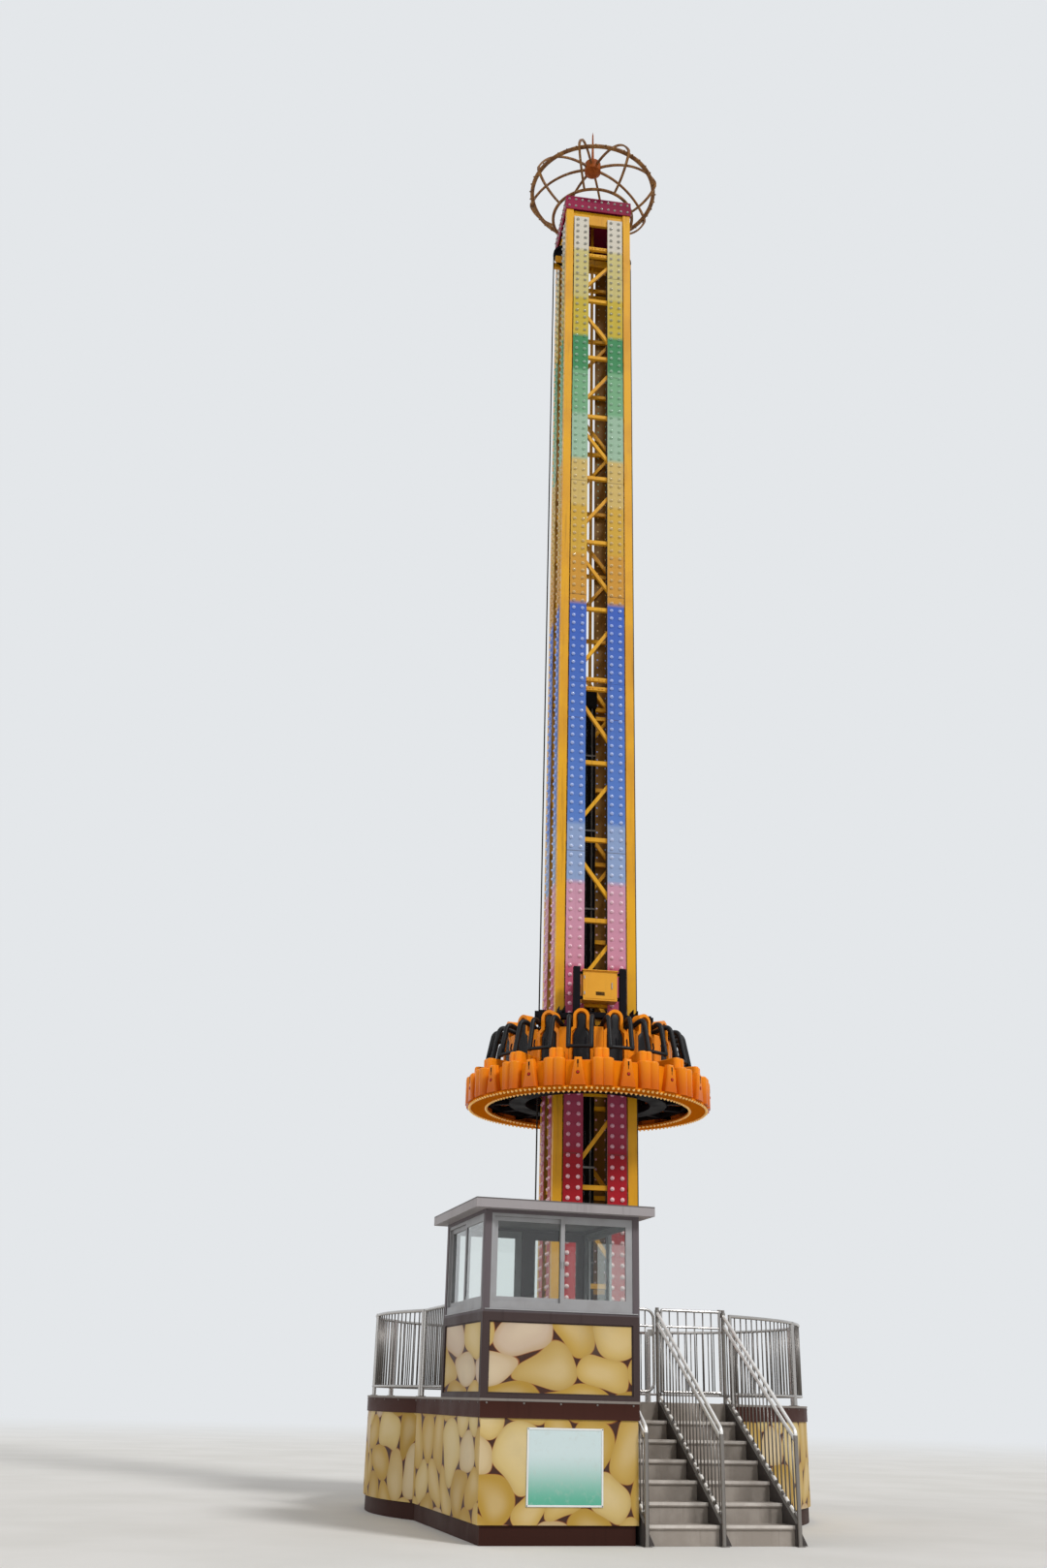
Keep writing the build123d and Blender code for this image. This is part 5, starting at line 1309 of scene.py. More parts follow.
@dataclass
class Crown(Assembly):
    """Open crown of bent bars, with its lamp sockets."""

    ring_radius: float = 1.27
    ring_height: float = 24.8
    ring_bar: float = 0.04
    socket_seat: float = 0.004
    socket: Point = (0.2, 0.014, 0.03)

    def build(self) -> None:
        """Dresses the crown's nodes, and adds the sockets along the wide ring."""
        self.shop.dress(Paint.CROWN, "crown_rings", "crown_ribs")
        self.shop.dress(Paint.HUB, "crown_hub")
        reach = self.ring_radius + self.ring_bar - self.socket_seat
        paths = [arc(reach, self.ring_height, 0.0, FULL_TURN, 96)]
        self.shop.row(Repeat.LAMP, "crown_sockets", paths, self.socket, Paint.CROWN, "crown_paint")


@dataclass
class Platform(Assembly):
    """Round deck with its cladding, rim, floor and notice board."""

    radius: float = 3.17
    lip: float = 0.005
    left: float = LEFT
    front: float = FRONT
    stair_side: float = 0.96
    screw_drop: float = 0.045
    screw: Point = (0.41, 0.008, 0.004)
    side_screws: Pair = (-1.7, -4.75)
    front_screws: Pair = (-2.75, -1.02)
    board: tuple[Pair, Pair] = ((-2.27, 0.38), (-1.38, 1.17))
    board_border: float = 0.02
    wall_face: float = -4.83

    def build(self) -> None:
        """Dresses the platform's nodes, and adds screws and the notice board."""
        self.shop.dress(Paint.DECK, "deck_floor")
        self.shop.dress(Paint.RIM, "deck_rim", "plinth")
        self.shop.dress(Paint.PRIMER, "deck_joists")
        self.shop.dress(Paint.STONES_FLAT, "block_walls")
        self.shop.dress(Paint.STONES_BOOTH, "booth_walls")
        self.shop.dress(Paint.STONES_ROUND, "round_wall")
        self.screws()
        self.notice_board()

    def screws(self) -> None:
        """Screw heads near the rim's top, from the stairs round the deck to the block's front."""
        z = DECK - self.screw_drop
        start = -math.acos(self.stair_side / self.radius) + 0.02
        end = math.pi + math.acos(-self.left / self.radius)
        side = [(Vector((self.left + self.lip, y, z)), Vector((-1, 0, 0))) for y in self.side_screws]
        front = [(Vector((x, self.front + self.lip, z)), AHEAD) for x in self.front_screws]
        paths = [arc(self.radius - self.lip, z, start, end, 72), side, front]
        self.shop.row(Repeat.BOLT, "rim_screws", paths, self.screw, Paint.DULL_STEEL, "rim_paint")

    def notice_board(self) -> None:
        """Plain notice board on the block's front, with a raised border and corner screws."""
        (left, low), (right, high) = self.board
        face, edge = self.wall_face - 0.006, self.board_border
        panel, trim = Form(), Form()
        panel.block((left, face, low), (right, self.wall_face - 0.0005, high))
        self.shop.form(panel, "notice_board", Paint.NOTICE, "cladding")
        for (x, z), (far_x, far_z) in strips_round(*self.board, edge):
            trim.block((x, face - 0.005, z), (far_x, face, far_z))
        self.shop.form(trim, "notice_border", Paint.TRIM, "aluminium_frame", bevel=0.002)
        corners = [
            [(Vector((x, face - 0.0055, z)), AHEAD) for x in (left + edge / 2, right - edge / 2)]
            for z in (low + edge / 2, high - edge / 2)
        ]
        sizes = (right - left - edge - 0.001, 0.005, 0.003)
        self.shop.row(Repeat.BOLT, "notice_screws", corners, sizes, Paint.DULL_STEEL, "stainless")


@dataclass
class Railing(Assembly):
    """A sub-assembly with balustrades: radii of its tubes and bars, and its foot plates."""

    rail: float = 0.022
    post: float = 0.025
    bar: float = 0.009
    plate: Pair = (0.045, 0.008)


@dataclass
class Stairs(Railing):
    """Two flights with three balustrades of round stainless tube."""

    places: Point = (-0.905, 0.01, 0.935)
    steps: int = 7
    front: float = FRONT
    back: float = -2.95
    foot_post: float = -4.935
    head_post: float = GATE_LINE
    head_top: float = 2.6
    rail_height: float = 1.06
    second_drop: float = 0.13
    foot_rail: float = 0.11
    foot_tube: float = 0.0176
    bar_gap: float = 0.105
    bend: float = 0.09
    hinge_heights: Pair = (1.564, 2.5965)
    hinge_half: float = 0.0055
    glint_step: float = 0.155
    glint_half: float = 0.048
    flange_half: float = 0.032
    flange: Pair = (0.06, 0.006)
    flange_ends: Pair = (-4.908, -3.046)
    nosing_inset: float = 0.027
    nosing: Pair = (0.045, 0.028)
    nosing_thick: float = 0.003
    overhang: float = 0.02
    gusset: tuple[Pair, ...] = ((0.012, 0.008), (0.085, 0.008), (0.075, 0.03), (0.012, 0.15))

    @property
    def rise(self) -> float:
        """Height of one step."""
        return DECK / self.steps

    @property
    def slope(self) -> float:
        """Rise of the line of nosings for each metre towards the deck."""
        return (DECK - self.rise) / (self.back - self.front)

    def nose(self, y: float) -> float:
        """Height of the line of nosings at one place."""
        return self.rise + (y - self.front) * self.slope

    def line(self, x: float, height: float, ends: Sequence[float]) -> list[Vector]:
        """Points of a balustrade, at one height above the line of nosings."""
        return [Vector((x, y, self.nose(y) + height)) for y in ends]

    def build(self) -> None:
        """Dresses the stairs' nodes, and builds rails, bars, nosings and trims."""
        self.shop.dress(Paint.TREAD, "stair_treads")
        self.shop.dress(Paint.STRINGER, "stair_stringers")
        self.rails()
        self.bars()
        self.nosings()
        self.painted_glints()
        self.flanges()
        self.gussets()

    def handrail(self, x: float) -> list[Vector]:
        """Middle line of one upper handrail, which bends down into its foot post.

        Args:
            x: Place of the balustrade.

        Returns:
            Points from the ground up to the head post.
        """
        elbow = self.nose(self.foot_post) + self.rail_height - self.bend * 0.75
        foot = [Vector((x, self.foot_post, z)) for z in (0.0, elbow)]
        centre = Vector((x, self.foot_post + self.bend, elbow))
        angles = sweep(math.pi, math.atan(self.slope) - math.pi / 2)[1:]
        curve = [centre + self.bend * Vector((0, math.cos(a), math.sin(a))) for a in angles]
        return foot + curve + self.line(x, self.rail_height, (self.head_post,))

    def rails(self) -> None:
        """Posts with foot rails, and double handrails with a bend at each lower end."""
        form, hand = Form(), Form()
        ends = (self.foot_post, self.head_post)
        for x in self.places:
            path = self.handrail(x)
            hand.tube(path, self.rail)
            hand.tube(self.line(x, self.rail_height - self.second_drop, ends), self.rail)
            form.tube(path[:2], self.post)
            form.tube(self.line(x, self.foot_rail, ends), self.foot_tube)
            head = [Vector((x, self.head_post, z)) for z in (DECK, self.head_top - 0.02, self.head_top)]
            form.tube(head, self.post)
            half, thick = self.plate
            for y, z in ((self.foot_post, 0.0), (self.head_post, DECK)):
                form.block((x - half, y - half, z), (x + half, y + half, z + thick))
            form.tube([path[-1] - UP * 0.03, path[-1] + UP * 0.03], self.post * 1.25)
        for x, way in ((self.places[0], 1), (self.places[2], -1)):
            near, far = sorted((x + way * self.post * 0.6, x + way * 0.071))
            for z in self.hinge_heights:
                low, high = z - self.hinge_half, z + self.hinge_half
                form.block((near, self.head_post - 0.018, low), (far, self.head_post + 0.018, high))
        node = "stair_rails"
        # The posts' dark finish is painted shade
        self.shop.form(form, "stair_balustrades", Paint.RAIL_POST, "stainless", node, smooth=40, bevel=0.002)
        # The handrails' near-white finish is a painted glint
        self.shop.form(hand, "stair_handrails", Paint.HANDRAIL, "stainless", node, smooth=40)

    def bars(self) -> None:
        """Round bars between the foot rail and the second handrail."""
        length = self.head_post - self.foot_post
        step = length / int(length / self.bar_gap)
        ends = (self.foot_post + step, self.head_post - step)
        paths = [[(point, UP) for point in self.line(x, self.foot_rail, ends)] for x in self.places]
        height = self.rail_height - self.second_drop - self.foot_rail
        sizes = (step * math.hypot(1, self.slope), self.bar, height)
        self.shop.row(Repeat.BAR, "stair_bars", paths, sizes, Paint.DULL_STEEL, "stainless", "stair_rails")

    def nosings(self) -> None:
        """Worn angle strip along the front edge of each tread."""
        form = Form()
        last = self.steps - 1
        going = (self.back - self.front) / last
        deep, drop = self.nosing
        thick = self.nosing_thick
        for low, high in zip(self.places, self.places[1:]):
            left, right = low + self.nosing_inset, high - self.nosing_inset
            for number in range(self.steps):
                y = self.front + number * going - (self.overhang if number < last else 0.0)
                z = (number + 1) * self.rise
                form.block((left, y - thick, z), (right, y + deep, z + thick))
                form.block((left, y - thick, z - drop), (right, y - 0.0004, z))
        self.shop.form(form, "tread_nosings", Paint.NOSING, "stair_steel")

    def painted_glints(self) -> None:
        """White sleeves on the foot rails, which paint the rails' glints as a line of bright dashes."""
        form = Form()
        for x in self.places:
            for number in range(1, 13):
                middle = self.foot_post + number * self.glint_step
                ends = (middle - self.glint_half, middle + self.glint_half)
                form.tube(self.line(x, self.foot_rail, ends), self.foot_tube + 0.0025)
        self.shop.form(form, "foot_rail_painted_glints", Paint.PAINTED_GLINT, "stair_steel", smooth=40)

    def flanges(self) -> None:
        """Top flange along each stringer, a little wider than the plate under it, and paler: painted light on
        its top.
        """
        form = Form()
        for x in self.places:
            left, right = x - self.flange_half, x + self.flange_half
            rings = []
            for y in self.flange_ends:
                low = self.nose(y) + self.flange[0]
                high = low + self.flange[1]
                rings.append([(left, y, low), (right, y, low), (right, y, high), (left, y, high)])
            form.loft(rings)
        self.shop.form(form, "stringer_flanges", Paint.FLANGE, "stair_steel", bevel=0.0015)

    def gussets(self) -> None:
        """Dark slanted plates that brace the feet of the lowest posts."""
        form = Form()
        for x in self.places:
            faces = (self.foot_post - 0.012, self.foot_post + 0.012)
            form.loft([[(x + out, y, z) for out, z in self.gusset] for y in faces])
        self.shop.form(form, "post_gussets", Paint.STRINGER, "stair_steel", bevel=0.002)


@dataclass
class Fence(Railing):
    """Deck fence of round tube: nine curved panels, and a straight one beside the booth."""

    radius: float = 3.1
    height: float = 1.09
    foot: float = 0.1
    panels: int = 9
    bars: int = 14
    start: float = -math.acos(1.01 / 3.1)
    end: float = math.pi + math.acos(2.76 / 3.1)
    straight_x: float = -2.76
    straight_y: Pair = (-2.9, -1.4616)
    straight_gap: float = 0.099

    @property
    def rails(self) -> tuple[Pair, Pair]:
        """Height and radius of the top rail, and of the foot rail."""
        foot = DECK + self.foot + self.rail
        return (DECK + self.height - self.rail, self.rail), (foot, self.rail * 0.8)

    @property
    def upright(self) -> Point:
        """Heights along a post, with a short last step under its closed end."""
        return DECK, DECK + self.height - 0.012, DECK + self.height - 0.004

    @property
    def bar_length(self) -> float:
        """Length of a bar, from the foot rail to the top rail."""
        return self.height - self.foot - 2 * self.rail

    def build(self) -> None:
        """Builds the curved panels and the straight one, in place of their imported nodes."""
        self.curved()
        self.straight()

    def curved(self) -> None:
        """Curved panels: two posts, a top rail, a foot rail and fourteen bars each."""
        form = Form()
        paths = []
        step = (self.end - self.start) / self.panels
        gap = 0.002 / self.radius
        inset = self.post / self.radius
        spread = (step - gap) / (self.bars + 1)
        half, thick = self.plate
        for panel in range(self.panels):
            first = self.start + panel * step
            last = first + step - gap
            ends = (first + inset, last - inset)
            for z, radius in self.rails:
                form.tube([point for point, _ in arc(self.radius, z, *ends, 16)], radius)
            for angle in ends:
                form.tube([polar(self.radius, angle, z) for z in self.upright], self.post)
                foot = Matrix.Translation(polar(self.radius, angle, DECK))
                turn = foot @ Matrix.Rotation(angle, 4, "Z")
                form.block((-half, -0.026, 0), (half, 0.026, thick), turn)
            paths.append(arc(self.radius, self.rails[1][0], first + spread, last - spread, 26, UP))
        node = "fence_round"
        self.shop.form(form, "deck_fence", Paint.STEEL, "stainless", node, smooth=40)
        sizes = (spread * self.radius * SNUG, self.bar, self.bar_length)
        self.shop.row(Repeat.BAR, "deck_fence_bars", paths, sizes, Paint.DULL_STEEL, "stainless", node)

    def straight(self) -> None:
        """Straight panel from the booth's corner back to the curved fence."""
        form = Form()
        x = self.straight_x
        half, thick = self.plate
        low, high = self.straight_y
        ends = (low + self.post, high - self.post)
        for z, radius in self.rails:
            form.tube([Vector((x, y, z)) for y in ends], radius)
        for y in ends:
            form.tube([Vector((x, y, z)) for z in self.upright], self.post)
            form.block((x - half, y - self.post, DECK), (x + half, y + self.post, DECK + thick))
        node = "fence_left"
        self.shop.form(form, "side_fence", Paint.STEEL, "stainless", node, smooth=40)
        path = [(Vector((x, y, self.rails[1][0])), UP) for y in (low + 0.125, high - 0.125)]
        sizes = (self.straight_gap, self.bar, self.bar_length)
        self.shop.row(Repeat.BAR, "side_fence_bars", [path], sizes, Paint.DULL_STEEL, "stainless", node)


@dataclass
class Gate(Assembly):
    """One gate at the head of the stairs: bent tube frame, second rail and bars."""

    body: str
    hinge: float
    free: float
    corner: float
    y: float = GATE_LINE
    low: float = 0.11
    high: float = 1.13
    tube: float = 0.018
    second: float = 0.2
    bar: float = 0.009
    bars: int = 6
    latch_inset: float = 0.045
    latch: Pair = (0.035, 0.024)
    latch_drops: Pair = (0.14, 0.06)

    def at(self, x: float, z: float) -> Vector:
        """A point in the plane of the gate."""
        return Vector((x, self.y, z))

    def build(self) -> None:
        """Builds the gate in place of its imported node."""
        bottom = DECK + self.low + self.tube
        top = DECK + self.high - self.tube
        form = Form()
        form.tube([self.at(self.hinge, DECK + z) for z in (self.low, self.high)], self.tube)
        form.tube(self.outline(bottom, top), self.tube)
        middle = DECK + self.high - self.second
        form.tube([self.at(x, middle - self.tube) for x in (self.hinge, self.free)], self.tube * 0.8)
        wide, deep = self.latch
        x = self.free - math.copysign(self.latch_inset, self.free - self.hinge)
        low, high = (middle - drop for drop in self.latch_drops)
        form.block((x - wide, self.y - deep, low), (x + wide, self.y + deep, high))
        body = self.body
        self.shop.form(form, f"{body}_frame", Paint.STEEL, "stainless", body, body=body, smooth=40)
        step = (self.free - self.hinge) / (self.bars + 1)
        path = [(self.at(self.hinge + step * n, bottom), UP) for n in (1, self.bars)]
        sizes = (abs(step) * SNUG, self.bar, top - bottom)
        finish = (Paint.DULL_STEEL, "stainless")
        self.shop.row(Repeat.BAR, f"{body}_bars", [path], sizes, *finish, body, body=body)

    def outline(self, bottom: float, top: float) -> list[Vector]:
        """Middle line of the bent tube, from the hinge round the free end and back.

        Args:
            bottom: Height of the lower run.
            top: Height of the upper run.

        Returns:
            Points of the line, with both free corners rounded.
        """
        reach = math.copysign(self.corner, self.free - self.hinge)
        bend = self.free - reach
        path = [self.at(self.hinge, bottom), self.at(bend, bottom)]
        for z, first in ((bottom + self.corner, -math.pi / 2), (top - self.corner, 0.0)):
            for angle in sweep(first, math.pi / 2):
                path.append(self.at(bend + reach * math.cos(angle), z + self.corner * math.sin(angle)))
        return [*path, self.at(self.hinge, top)]


@dataclass
class Booth(Assembly):
    """Control booth: posts, cladding, sliding windows, roof and door."""

    left: float = LEFT
    right: float = -0.94
    front: float = FRONT
    back: float = -2.9
    post: float = 0.08
    panel: Pair = (1.51, 2.27)
    panel_inset: float = 0.02
    bead: float = 0.014
    bead_proud: float = 0.006
    sill_top: float = 2.4
    sill_proud: float = 0.012
    latch_heights: Point = (2.86, 2.9, 2.94)
    lever_height: float = 2.55
    lever_plate: Pair = (2.42, 2.62)
    lever_inset: float = 0.715

    def build(self) -> None:
        """Dresses the booth's nodes, and adds its trims and handles."""
        self.shop.dress(Paint.POST, "booth_frame", "booth_door")
        self.shop.dress(Paint.WINDOW, "booth_windows")
        self.shop.dress(Paint.GLASS, "booth_glass")
        self.shop.dress(Paint.ROOF, "booth_roof")
        self.panel_beads()
        self.handles()
        self.sill()

    def panel_beads(self) -> None:
        """Thin beads that hold the printed panels in their frames."""
        form = Form()
        low, high = self.panel
        for x, way in ((self.left + self.panel_inset, -1), (self.right - self.panel_inset, 1)):
            near, far = sorted((x, x + way * self.bead_proud))
            ends = ((self.front + self.post, low), (self.back - self.post, high))
            for (y, z), (far_y, far_z) in strips_round(*ends, self.bead):
                form.block((near, y, z), (far, far_y, far_z))
        face = self.front + self.panel_inset
        ends = ((self.left + self.post, low), (self.right - self.post, high))
        for (x, z), (far_x, far_z) in strips_round(*ends, self.bead):
            form.block((x, face - self.bead_proud, z), (far_x, face, far_z))
        self.shop.form(form, "panel_beads", Paint.POST, "booth_paint", bevel=0.002)

    def handles(self) -> None:
        """Crescent latches on the front sashes, and a lever on the door."""
        form = Form()
        middle = (self.left + self.right) / 2
        for x in (middle - 0.014, middle + 0.014):
            form.tube([Vector((x, self.front + 0.012, z)) for z in self.latch_heights], 0.005, 8)
        x, y = self.right - self.post - self.lever_inset, self.back - 0.02
        low, high = self.lever_plate
        form.block((x - 0.02, y, low), (x + 0.02, y + 0.006, high))
        bends = ((0.0, 0.0), (0.0, 0.05), (0.03, 0.06), (0.13, 0.06))
        form.tube([Vector((x + along, y + out, self.lever_height)) for along, out in bends], 0.009, 10)
        self.shop.form(form, "booth_handles", Paint.DULL_STEEL, "aluminium_frame", smooth=40)

    def sill(self) -> None:
        """Folded aluminium sill under the front and side windows."""
        form = Form()
        top, proud = self.sill_top, self.sill_proud
        low = top - 0.012
        form.block((self.left + 0.02, self.front - proud, low), (self.right - 0.02, self.front + 0.03, top))
        for x, way in ((self.left, -1), (self.right, 1)):
            near, far = sorted((x + way * proud, x - way * 0.03))
            form.block((near, self.front + self.post, low), (far, self.back - self.post, top))
        self.shop.form(form, "window_sills", Paint.WINDOW, "aluminium_frame", bevel=0.003)


@dataclass
class Restraint(Assembly):
    """Shoulder restraint: bent frame in thick moulded foam, with a lap bar and grips."""

    barrel: Pair = (1.15, 6.72)
    reach: Pair = (1.5, 6.83)
    lap: Pair = (1.61, 6.29)
    apart: float = 0.172
    pivot_half: float = 0.208
    foam: float = 0.041
    frame: float = 0.024
    bend: float = 0.11
    bar: float = 0.027
    lap_rise: float = 0.025
    grip: float = 0.012
    grip_place: float = 0.085

    def section(self) -> list[Pair]:
        """The arm's middle line as seen from the side, with its corner rounded.

        Returns:
            Points of the line, each as distance from the mast and height.
        """
        first, corner, last = (Vector(p) for p in (self.barrel, self.reach, self.lap))
        before = (first - corner).normalized()
        after = (last - corner).normalized()
        cut = self.bend / math.tan(before.angle(after) / 2)
        start, end = corner + before * cut, corner + after * cut
        line = [first]
        line += [first.lerp(start, share) for share in (0.12, 0.16, 0.6, 0.9)]
        for step in range(9):
            share = step / 8
            line.append(start.lerp(corner, share).lerp(corner.lerp(end, share), share))
        line += [end.lerp(last, share) for share in (0.3, 0.6, 0.86, 0.95, 1.0)]
        return [tuple(point) for point in line]

    def arm(self, line: Sequence[Pair], side: float) -> list[list[Point]]:
        """Rings of the foam round one arm, square to its middle line.

        Args:
            line: The arm's middle line.
            side: Place of the arm across the seat.

        Returns:
            One ring of corners for each point of the line.
        """
        count = len(line)
        rings = []
        for i, (r, z) in enumerate(line):
            ahead = line[min(i + 1, count - 1)]
            behind = line[max(i - 1, 0)]
            way = Vector((ahead[0] - behind[0], ahead[1] - behind[1])).normalized()
            wide, deep = self.profile(i, count)
            rings.append([
                (r - way.y * deep * s, side + wide * c, z + way.x * deep * s) for c, s in circle(14)
            ])
        return rings

    def build(self) -> None:
        """Makes the restraint once, and turns it to each of the sixteen seats."""
        line = self.section()
        foam, steel = Form(), Form()
        for side in (-self.apart, self.apart):
            foam.loft(self.arm(line, side))
            steel.tube([Vector((r, side, z)) for r, z in (line[0], line[2])], self.frame)
        r, z = self.barrel
        steel.tube([Vector((r, y, z)) for y in (-self.pivot_half, self.pivot_half)], self.frame)
        lap = Vector((self.lap[0], 0, self.lap[1] + self.lap_rise))
        places = [self.apart * share for share in (-1, -0.6, -0.2, 0.2, 0.6, 1)]
        foam.tube([lap + Vector((0, y, 0)) for y in places], self.bar, 14)
        for y in (-self.grip_place, self.grip_place):
            bends = ((0, y, 0), (0.012, y, 0.06), (-0.005, y, 0.13))
            steel.tube([lap + Vector(point) for point in bends], self.grip)
        for number in range(SEATS):
            turn = Matrix.Rotation(FULL_TURN * number / SEATS, 3, "Z")
            body = f"restraint_{number + 1:02d}"
            for form, paint, kind, slot in (
                (foam, Paint.FOAM, "foam", "restraint_foam"), (steel, Paint.MACHINE, "tube", "dark_steel"),
            ):
                placed = form.turned(turn)
                piece = self.shop.form(placed, f"{body}_{kind}", paint, slot, body, body=body, smooth=50)

    def profile(self, number: int, count: int) -> Pair:
        """Half width and half depth of the foam at one place along the arm.

        Args:
            number: Which ring along the arm.
            count: How many rings there are.

        Returns:
            Half width across the seat, and half depth.
        """
        share = number / (count - 1)
        swell = min(1.0, 0.62 + 1.6 * share) if share < 0.25 else 1.0
        end = 0.8 if number <= 1 or number == count - 1 else 1.0
        return self.foam * 0.9 * swell * end, self.foam * swell * end


@dataclass
class Gondola(Assembly):
    """Carriage, control cabinet and the turning ring of seats."""

    skirt_edge: float = 5.65
    skirt_radii: Pair = (1.862, 1.6)
    skirt_lamp: Point = (0.078, 0.017, 0.016)
    button_height: float = 5.86
    pommel_face: float = 1.92
    cabinet_face: float = -1.013
    door: Point = (0.245, 7.195, 7.615)
    vent: tuple[Pair, int] = ((7.25, 0.012), 5)
    bracket_heights: Pair = (7.19, 7.585)
    hinge_heights: Pair = (7.28, 7.53)

    def build(self) -> None:
        """Dresses the gondola's nodes, and adds lamps, buttons and cabinet parts."""
        self.shop.dress(Paint.MACHINE, "carriage_frame", "carriage_uprights", "ring_frame")
        self.shop.dress(Paint.RUBBER, "guide_rollers")
        self.shop.dress(Paint.CABINET, "control_cabinet")
        self.shop.dress(Paint.GEL, "seat_pans", "seat_backs", "arm_fairings", "pommels")
        self.shop.dress(Paint.SKIRT, "skirt")
        self.edge_lamps()
        self.buttons()
        self.cabinet()

    def edge_lamps(self) -> None:
        """Small amber lamps that hang along both edges of the skirt's underside."""
        paths = [arc(radius, self.skirt_edge, 0.0, FULL_TURN, 96, -UP) for radius in self.skirt_radii]
        finish = (Paint.AMBER, "seat_plastic")
        self.shop.row(Repeat.LAMP, "skirt_lamps", paths, self.skirt_lamp, *finish, body=SEAT_RING)

    def discs(self, *steps: Pair) -> list[list[Point]]:
        """Rings round a button's middle, which a loft joins to a disc or a dome.

        Args:
            steps: Radius and distance from the pommel's face, for each ring.

        Returns:
            The rings, in the order of the steps.
        """
        face, height = self.pommel_face, self.button_height
        return [
            [(face + out, radius * c, height + radius * s) for c, s in circle(16)] for radius, out in steps
        ]

    def buttons(self) -> None:
        """A strap slot and a red button on the front of each pommel."""
        slots, domes = Form(), Form()
        face = self.pommel_face
        slots.block((face - 0.004, -0.011, 5.985), (face + 0.003, 0.011, 6.045))
        slots.block((face - 0.002, -0.004, 5.93), (face + 0.004, 0.004, 5.985))
        slots.loft(self.discs((0.026, 0.0), (0.025, 0.003), (0.019, 0.003)))
        domes.loft(self.discs((0.018, 0.0), (0.018, 0.004), (0.014, 0.007), (0.007, 0.009), (0.001, 0.0095)))
        dark, red = slots.turned_copies(SEATS), domes.turned_copies(SEATS)
        self.shop.form(dark, "pommel_slots", Paint.MACHINE, "dark_steel", body=SEAT_RING, smooth=40)
        self.shop.form(red, "pommel_buttons", Paint.BUTTON, "seat_plastic", body=SEAT_RING, smooth=60)

    def cabinet(self) -> None:
        """Door seam, vent, handle, hinges and brackets of the control cabinet."""
        turn = Matrix.Rotation(MAST_TURN, 4, "Z")
        face = self.cabinet_face
        door, dark, bright = Form(), Form(), Form()
        half, low, high = self.door
        door.block((-half, face - 0.006, low), (half, face - 0.0005, high), turn)
        (lowest, gap), count = self.vent
        for row in range(count):
            z = lowest + row * gap
            dark.block((-0.07, face - 0.009, z), (0.07, face - 0.006, z + 0.009), turn)
        for z in self.bracket_heights:
            for left, right in ((-0.3145, -0.2705), (0.2705, 0.3145)):
                dark.block((left, face + 0.026, z), (right, face + 0.074, z + 0.044), turn)
        bright.block((0.178, face - 0.018, 7.36), (0.192, face - 0.006, 7.46), turn)
        for z in self.hinge_heights:
            bright.block((-0.258, face - 0.011, z - 0.025), (-0.24, face - 0.002, z + 0.025), turn)
        for form, name, paint, slot in (
            (door, "cabinet_door", Paint.CABINET, "cabinet_paint"),
            (dark, "cabinet_vent_and_brackets", Paint.MACHINE, "dark_steel"),
            (bright, "cabinet_handle_and_hinges", Paint.WINDOW, "aluminium_frame"),
        ):
            self.shop.form(form, name, paint, slot, body=CARRIAGE, bevel=0.002)


